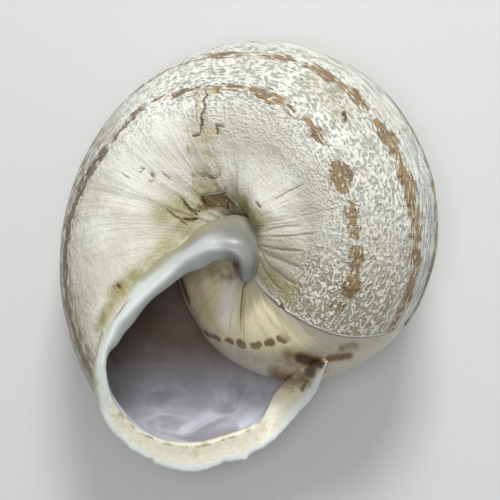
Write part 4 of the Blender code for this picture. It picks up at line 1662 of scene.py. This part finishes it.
@dataclass
class Lip:
    """The turned-out lip and the callus that it runs into, blended into one smooth piece."""

    ribs: tuple[Rib, ...] = (
        Rib((4.95, -6.15, 10.3), (5.32, -6.28, 10.4), 0.5, 0.05, 0.5),
        Rib((4.4, -6.35, 10.0), (5.12, -6.75, 10.0), 0.5, -0.05, 0.6),
        Rib((3.5, -6.75, 9.2), (4.8, -7.4, 9.15), 0.5, -0.15, 0.7),
        Rib((2.6, -7.45, 7.9), (4.35, -8.25, 8.1), 0.5, -0.3, 0.8),
        Rib((1.85, -8.1, 6.8), (3.6, -9.15, 7.2), 0.45, -0.3, 0.8),
        Rib((1.35, -8.87, 6.35), (2.85, -9.95, 6.7), 0.4, -0.12, 0.8),
        Rib.seen(Pixel(264, 412, 6.45), Pixel(276.7, 436.8, 6.5), 0.3, 0.08, 0.8),
        Rib.seen(Pixel(257, 420, 6.6), Pixel(263, 447.3, 6.5), 0.25, 0.12, 0.9),
        Rib.seen(Pixel(245, 427, 6.9), Pixel(251.7, 453.5, 6.65), 0.22, 0.12, 0.9),
        Rib.seen(Pixel(232, 431.5, 7.25), Pixel(240, 459.5, 6.95), 0.22, 0.12, 0.9),
        Rib.seen(Pixel(213.5, 437.5, 7.85), Pixel(219, 462.5, 7.55), 0.22, 0.12, 0.9),
        Rib.seen(Pixel(193.5, 441, 8.5), Pixel(197, 468, 8.2), 0.22, 0.12, 0.9),
        Rib.seen(Pixel(172, 440, 9.2), Pixel(170, 465.7, 8.95), 0.22, 0.12, 0.9),
        Rib.seen(Pixel(155, 435, 9.8), Pixel(150, 459, 9.7), 0.22, 0.12, 0.9),
        Rib.seen(Pixel(141.7, 428.3, 10.35), Pixel(132.9, 450.3, 10.4), 0.22, 0.12, 0.9),
        Rib.seen(Pixel(130, 420, 10.9), Pixel(119, 438, 11.0), 0.24, 0.12, 0.9),
        Rib.seen(Pixel(121.5, 411, 11.4), Pixel(108.5, 427, 11.6), 0.26, 0.12, 0.9),
        Rib.seen(Pixel(114.4, 400, 11.9), Pixel(100.5, 411.5, 12.1), 0.3, 0.12, 0.9),
        Rib.seen(Pixel(110, 387, 12.35), Pixel(95.5, 396, 12.5), 0.35, 0.12, 0.9),
        Rib.seen(Pixel(107.2, 372, 12.7), Pixel(92.5, 377, 12.8), 0.38, 0.12, 0.9),
        Rib.seen(Pixel(106.8, 360, 12.9), Pixel(93.5, 363, 12.9), 0.38, 0.12, 0.9),
        Rib.seen(Pixel(108.7, 350, 12.95), Pixel(95.6, 352, 12.85), 0.36, 0.14, 1.0),
        Rib.seen(Pixel(113, 340.5, 13.0), Pixel(98.4, 341, 12.7), 0.35, 0.18, 1.1),
        Rib((-6.65, -4.3, 12.95), (-7.75, -4.0, 12.5), 0.34, 0.24, 1.3),
        Rib((-6.1, -3.72, 12.9), (-7.3, -3.2, 12.45), 0.33, 0.28, 1.5),
        Rib((-5.12, -2.72, 12.8), (-6.4, -1.8, 12.4), 0.32, 0.28, 1.5),
        Rib((-4.18, -1.9, 12.75), (-5.25, -0.95, 12.35), 0.32, 0.3, 1.5),
        Rib((-3.22, -1.05, 12.7), (-4.3, -0.05, 12.15), 0.32, 0.32, 1.5),
        Rib((-2.56, -0.48, 12.75), (-3.65, 0.35, 12.0), 0.36, 0.36, 1.5),
        Rib((-1.75, -0.08, 12.8), (-2.95, 0.85, 11.8), 0.4, 0.4, 1.5),
        Rib((-1.2, 0.1, 12.85), (-2.35, 1.5, 11.6), 0.4, 0.4, 1.5),
        Rib((-0.54, 0.08, 12.85), (-1.4, 2.05, 11.3), 0.4, 0.42, 1.5),
        Rib((0.0, -0.1, 12.85), (-0.2, 2.35, 11.2), 0.4, 0.42, 1.5),
        Rib((0.25, -0.35, 12.75), (0.95, 2.0, 11.35), 0.42, 0.4, 1.5),
        Rib((0.35, -0.65, 12.6), (1.5, 1.05, 11.7), 0.44, 0.34, 1.5),
        Rib((0.4, -0.95, 12.45), (1.55, 0.15, 11.8), 0.46, 0.28, 1.6),
        Rib((0.42, -1.25, 12.25), (1.35, -0.6, 11.75), 0.48, 0.2, 1.6),
        Rib((0.5, -1.6, 12.0), (1.1, -1.35, 11.65), 0.5, 0.1, 1.5),
    )
    sides: int = 44
    rings: int = 460
    thickness: float = 0.26
    voxel: float = 0.075
    batch: int = 4096
    bottom_ribs: tuple[float, float, float, float] = (5.0, 7.0, 16.0, 19.0)
    callus_ribs: tuple[float, float] = (24.0, 30.0)
    pad_ribs: tuple[float, float] = (29.5, 32.5)
    steps: tuple[Step, ...] = (Step((9.85, 9.95), (12.75, 12.85), 0.17), Step((8.35, 8.43), (8.7, 9.0), 0.12))
    waves: tuple[Wave, ...] = (
        Wave((0.0, 3.0), (22.0, 19.0), 3.1, 11, 0.035),
        Wave((5.0, 8.0), (19.0, 16.0), 8.3, 12, 0.025),
    )
    dust: tuple[Patch, ...] = (Patch(0.1, -0.6, 0.5, 0.35), Patch(-0.3, -0.45, 0.4, 0.35, (0.4, -0.9)))

    def build(self, finish: bpy.types.Material) -> bpy.types.Object:
        """Makes the finished piece."""
        station, inner, outer, share, height, root = self.course()
        piece = self.make_strand("lip_and_callus", self.strand(inner, outer, share, height, root))
        apply_modifier(piece, "REMESH", mode="VOXEL", voxel_size=self.voxel, use_smooth_shade=True)
        apply_modifier(piece, "SMOOTH", factor=0.5, iterations=3)
        points = where(piece)
        self.paint(piece, points, station, inner, outer)
        put(piece, points * MM)
        piece.data.materials.append(finish)
        face_outward(piece)
        bpy.ops.object.shade_smooth()
        return piece

    def course(self) -> tuple[Points, ...]:
        """The ribs run together: station, inner rim, outer edge, and the crest's share, height and root."""
        knots = np.array([rib.values() for rib in self.ribs])
        station = np.linspace(0, len(knots) - 1, self.rings)
        run = np.stack([spline(tuple(enumerate(column)))(station) for column in knots.T], axis=1)
        inner, outer = run[:, :3], run[:, 3:6]
        out = outer - inner
        out /= np.linalg.norm(out, axis=1)[:, None]
        reach = sum(edge.reach(station) for edge in self.steps + self.waves)
        return station, inner, outer + out * reach[:, None], run[:, 6:7], run[:, 7:8], run[:, 8:9]

    def strand(self, inner: Points, outer: Points, share: Points, height: Points, root: Points) -> Points:
        """Closed rings over the lip's face and round under it, as (ring, side, xyz).

        Args:
            inner: each ring's place on the inner rim.
            outer: each ring's place on the outer edge.
            share: how far across the crest stands.
            height: how high it stands.
            root: how deep the root reaches.

        Returns:
            The rings.
        """
        across = outer - inner
        along = np.gradient(inner + outer, axis=0)
        up = np.cross(along, across)
        up /= np.linalg.norm(up, axis=1)[:, None]
        up *= np.sign(up[:, 2])[:, None]
        out = across / np.linalg.norm(across, axis=1)[:, None]
        crest = inner + share * across + up * height
        ring = (
            inner + 0.35 * across - up * root,
            inner + 0.12 * across - up * 0.6 * root,
            inner + 0.05 * across - up * 0.08,
            0.55 * inner + 0.45 * crest + up * 0.3 * np.abs(height),
            crest,
            inner + (0.55 * share + 0.45) * across + up * 0.45 * height,
            outer - out * 0.05 + up * 0.04,
            outer - out * 0.04 - up * self.thickness,
            inner + 0.6 * across - up * 0.6 * root,
        )
        ring = np.stack(ring, axis=1)
        corners = ring.shape[1]
        around = np.linspace(0, corners, self.sides, endpoint=False)
        looped = np.concatenate([ring[:, -3:], ring, ring[:, :3]], axis=1)
        places = tuple(range(-3, corners + 3))
        flat = looped.transpose(1, 0, 2).reshape(len(places), -1)
        curves = [spline(tuple(zip(places, column)))(around) for column in flat.T]
        return np.stack(curves, axis=1).reshape(self.sides, len(inner), 3).transpose(1, 0, 2)

    def make_strand(self, name: str, rings: Points) -> bpy.types.Object:
        """A closed strand, drawn out from a flat disc ring by ring and then set in place.

        Args:
            name: the object's name.
            rings: its points as (ring, side, xyz).

        Returns:
            The strand.
        """
        count, sides = rings.shape[:2]
        deselect()
        bpy.ops.mesh.primitive_circle_add(vertices=sides, radius=1.0, fill_type="NGON")
        piece = bpy.context.object
        piece.name = piece.data.name = name
        with editing(piece):
            for _ in range(count - 1):
                bpy.ops.mesh.extrude_region_move(TRANSFORM_OT_translate={"value": (0, 0, 1)})
        points = where(piece)
        ring = np.clip(np.rint(points[:, 2]).astype(int), 0, count - 1)
        bearing = np.arctan2(points[:, 1], points[:, 0]) / (2 * math.pi)
        side = np.rint(bearing * sides).astype(int) % sides
        put(piece, rings[ring, side])
        face_outward(piece)
        return piece

    def paint(
        self, piece: bpy.types.Object, points: Points, station: Points, inner: Points, outer: Points
    ) -> None:
        """Keeps how far across the lip each point lies, its share of the bottom and the callus, and the dirt.

        Args:
            piece: the lip.
            points: its points.
            station: the rib number of each ring.
            inner: the rings' inner rim.
            outer: the rings' outer edge.
        """
        middle = 0.5 * (inner + outer)
        nearest = np.empty(len(points), int)
        for start in range(0, len(points), self.batch):
            part = points[start : start + self.batch]
            off = (part[:, None] - middle[None]) ** 2
            nearest[start : start + self.batch] = np.argmin(off.sum(axis=2), axis=1)
        across = outer - inner
        width = np.linalg.norm(across, axis=1)[nearest]
        share = np.sum((points - inner[nearest]) * across[nearest], axis=1) / width**2
        rib = station[nearest]
        first, full, thin, gone = self.bottom_ribs
        before_callus = ramp(rib, gone, thin)
        bottom = ramp(rib, first, full) * before_callus
        callus = ramp(rib, *self.callus_ribs) + ramp(rib, *self.pad_ribs)
        note(piece, "lip", np.stack([share, bottom, callus], axis=1))
        yellow = strongest(CORNER_YELLOW, points)
        brown = strongest(CORNER_BROWN + self.dust, points)
        note(piece, "lip_dirt", np.stack([yellow, brown, before_callus], axis=1))


@dataclass
class Bud:
    """The smooth crown of the first whorl, which closes the coil at its apex."""

    lay: Lay
    radius: float = 1.5
    height: float = 0.82
    depth: float = -1.28
    ivory: tuple = linear(214, 206, 184)
    tan: tuple = linear(176, 160, 128)

    def build(self) -> bpy.types.Object:
        """Makes the finished piece."""
        deselect()
        bpy.ops.mesh.primitive_uv_sphere_add(segments=48, ring_count=24, radius=1.0)
        piece = bpy.context.object
        piece.name = piece.data.name = "first_whorl_crown"
        with editing(piece):
            bpy.ops.transform.resize(value=(self.radius, self.radius, self.height))
            bpy.ops.transform.translate(value=(0, 0, self.depth))
        put(piece, self.lay.down(where(piece)) * MM)
        bpy.ops.object.shade_smooth()
        piece.data.materials.append(self.dress())
        return piece

    def dress(self) -> bpy.types.Material:
        """Makes the crown's worn ivory finish."""
        material, board, surface = open_material("worn first whorl")
        cloud = board.noise(board.millimetres(), 1.5, 3.0)
        board.wire(surface.inputs["Base Color"], board.mix(board.times(cloud, 0.5), self.ivory, self.tan))
        surface.inputs["Roughness"].default_value = 0.45
        return material


@dataclass(frozen=True)
class Lamp:
    """A square soft lamp that points at the origin."""

    name: str
    place: tuple[float, float, float]
    size: float
    power: float


@dataclass(frozen=True)
class Studio:
    """Pale floor, soft light from above and the left, and a camera at the photograph's angle."""

    floor_size: float = 1.2
    floor_colour: tuple = linear(214, 214, 212)
    sky_colour: tuple = (0.93, 0.96, 1.0, 1.0)
    sky_strength: float = 0.24
    lamps: tuple[Lamp, ...] = (
        Lamp("key", (0.03, 0.15, 0.15), 0.06, 0.32),
        Lamp("fill", (0.02, 0.0, 0.26), 0.1, 0.24),
    )
    sight: Sight = SIGHT

    def build(self) -> None:
        """Makes the floor, the light and the camera."""
        self.make_floor()
        self.make_light()
        self.make_camera()

    def make_floor(self) -> None:
        """A plain pale floor."""
        deselect()
        bpy.ops.mesh.primitive_plane_add(size=self.floor_size, location=(0, 0, 0))
        floor = bpy.context.object
        floor.name = "floor"
        material, _, surface = open_material("pale floor")
        surface.inputs["Base Color"].default_value = self.floor_colour
        surface.inputs["Roughness"].default_value = 0.8
        floor.data.materials.append(material)

    def make_light(self) -> None:
        """An even sky and the soft lamps."""
        world = bpy.data.worlds.new("studio sky")
        world.use_nodes = True
        sky = world.node_tree.nodes["Background"]
        sky.inputs["Color"].default_value = self.sky_colour
        sky.inputs["Strength"].default_value = self.sky_strength
        bpy.context.scene.world = world
        for lamp in self.lamps:
            data = bpy.data.lights.new(lamp.name, "AREA")
            data.size = lamp.size
            data.energy = lamp.power
            holder = bpy.data.objects.new(lamp.name, data)
            holder.location = lamp.place
            holder.rotation_euler = holder.location.to_track_quat("Z", "Y").to_euler()
            bpy.context.scene.collection.objects.link(holder)

    def make_camera(self) -> None:
        """The camera, where the photograph was taken from."""
        data = bpy.data.cameras.new("camera")
        data.lens = self.sight.lens
        data.sensor_width = self.sight.sensor
        data.shift_x, data.shift_y = self.sight.shift
        data.clip_start = 0.005
        camera = bpy.data.objects.new("camera", data)
        camera.location = self.sight.place
        camera.rotation_euler = self.sight.turn
        bpy.context.scene.collection.objects.link(camera)
        bpy.context.scene.camera = camera
        bpy.context.scene.view_settings.view_transform = "Standard"


def main() -> None:
    """Builds every piece, sets it on the body, hides the CAD node that it stands for and logs its triangles.
    """
    logging.basicConfig(level=logging.INFO, format="%(message)s", stream=sys.stdout)
    effects = Effects()
    growth = Growth()
    lay = Lay()
    wall = Wall(growth, lay).build(Chalk().dress(effects), Glaze().dress())
    lip = Lip().build(Porcelain().dress(effects))
    bud = Bud(lay).build()
    for piece in (wall, lip, bud):
        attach(piece, BODY)
        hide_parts(NODE)
        triangles = sum(len(face.vertices) - 2 for face in piece.data.polygons)
        log.info("%s: %d triangles", piece.name, triangles)
    Studio().build()


if __name__ == "__main__":
    main()
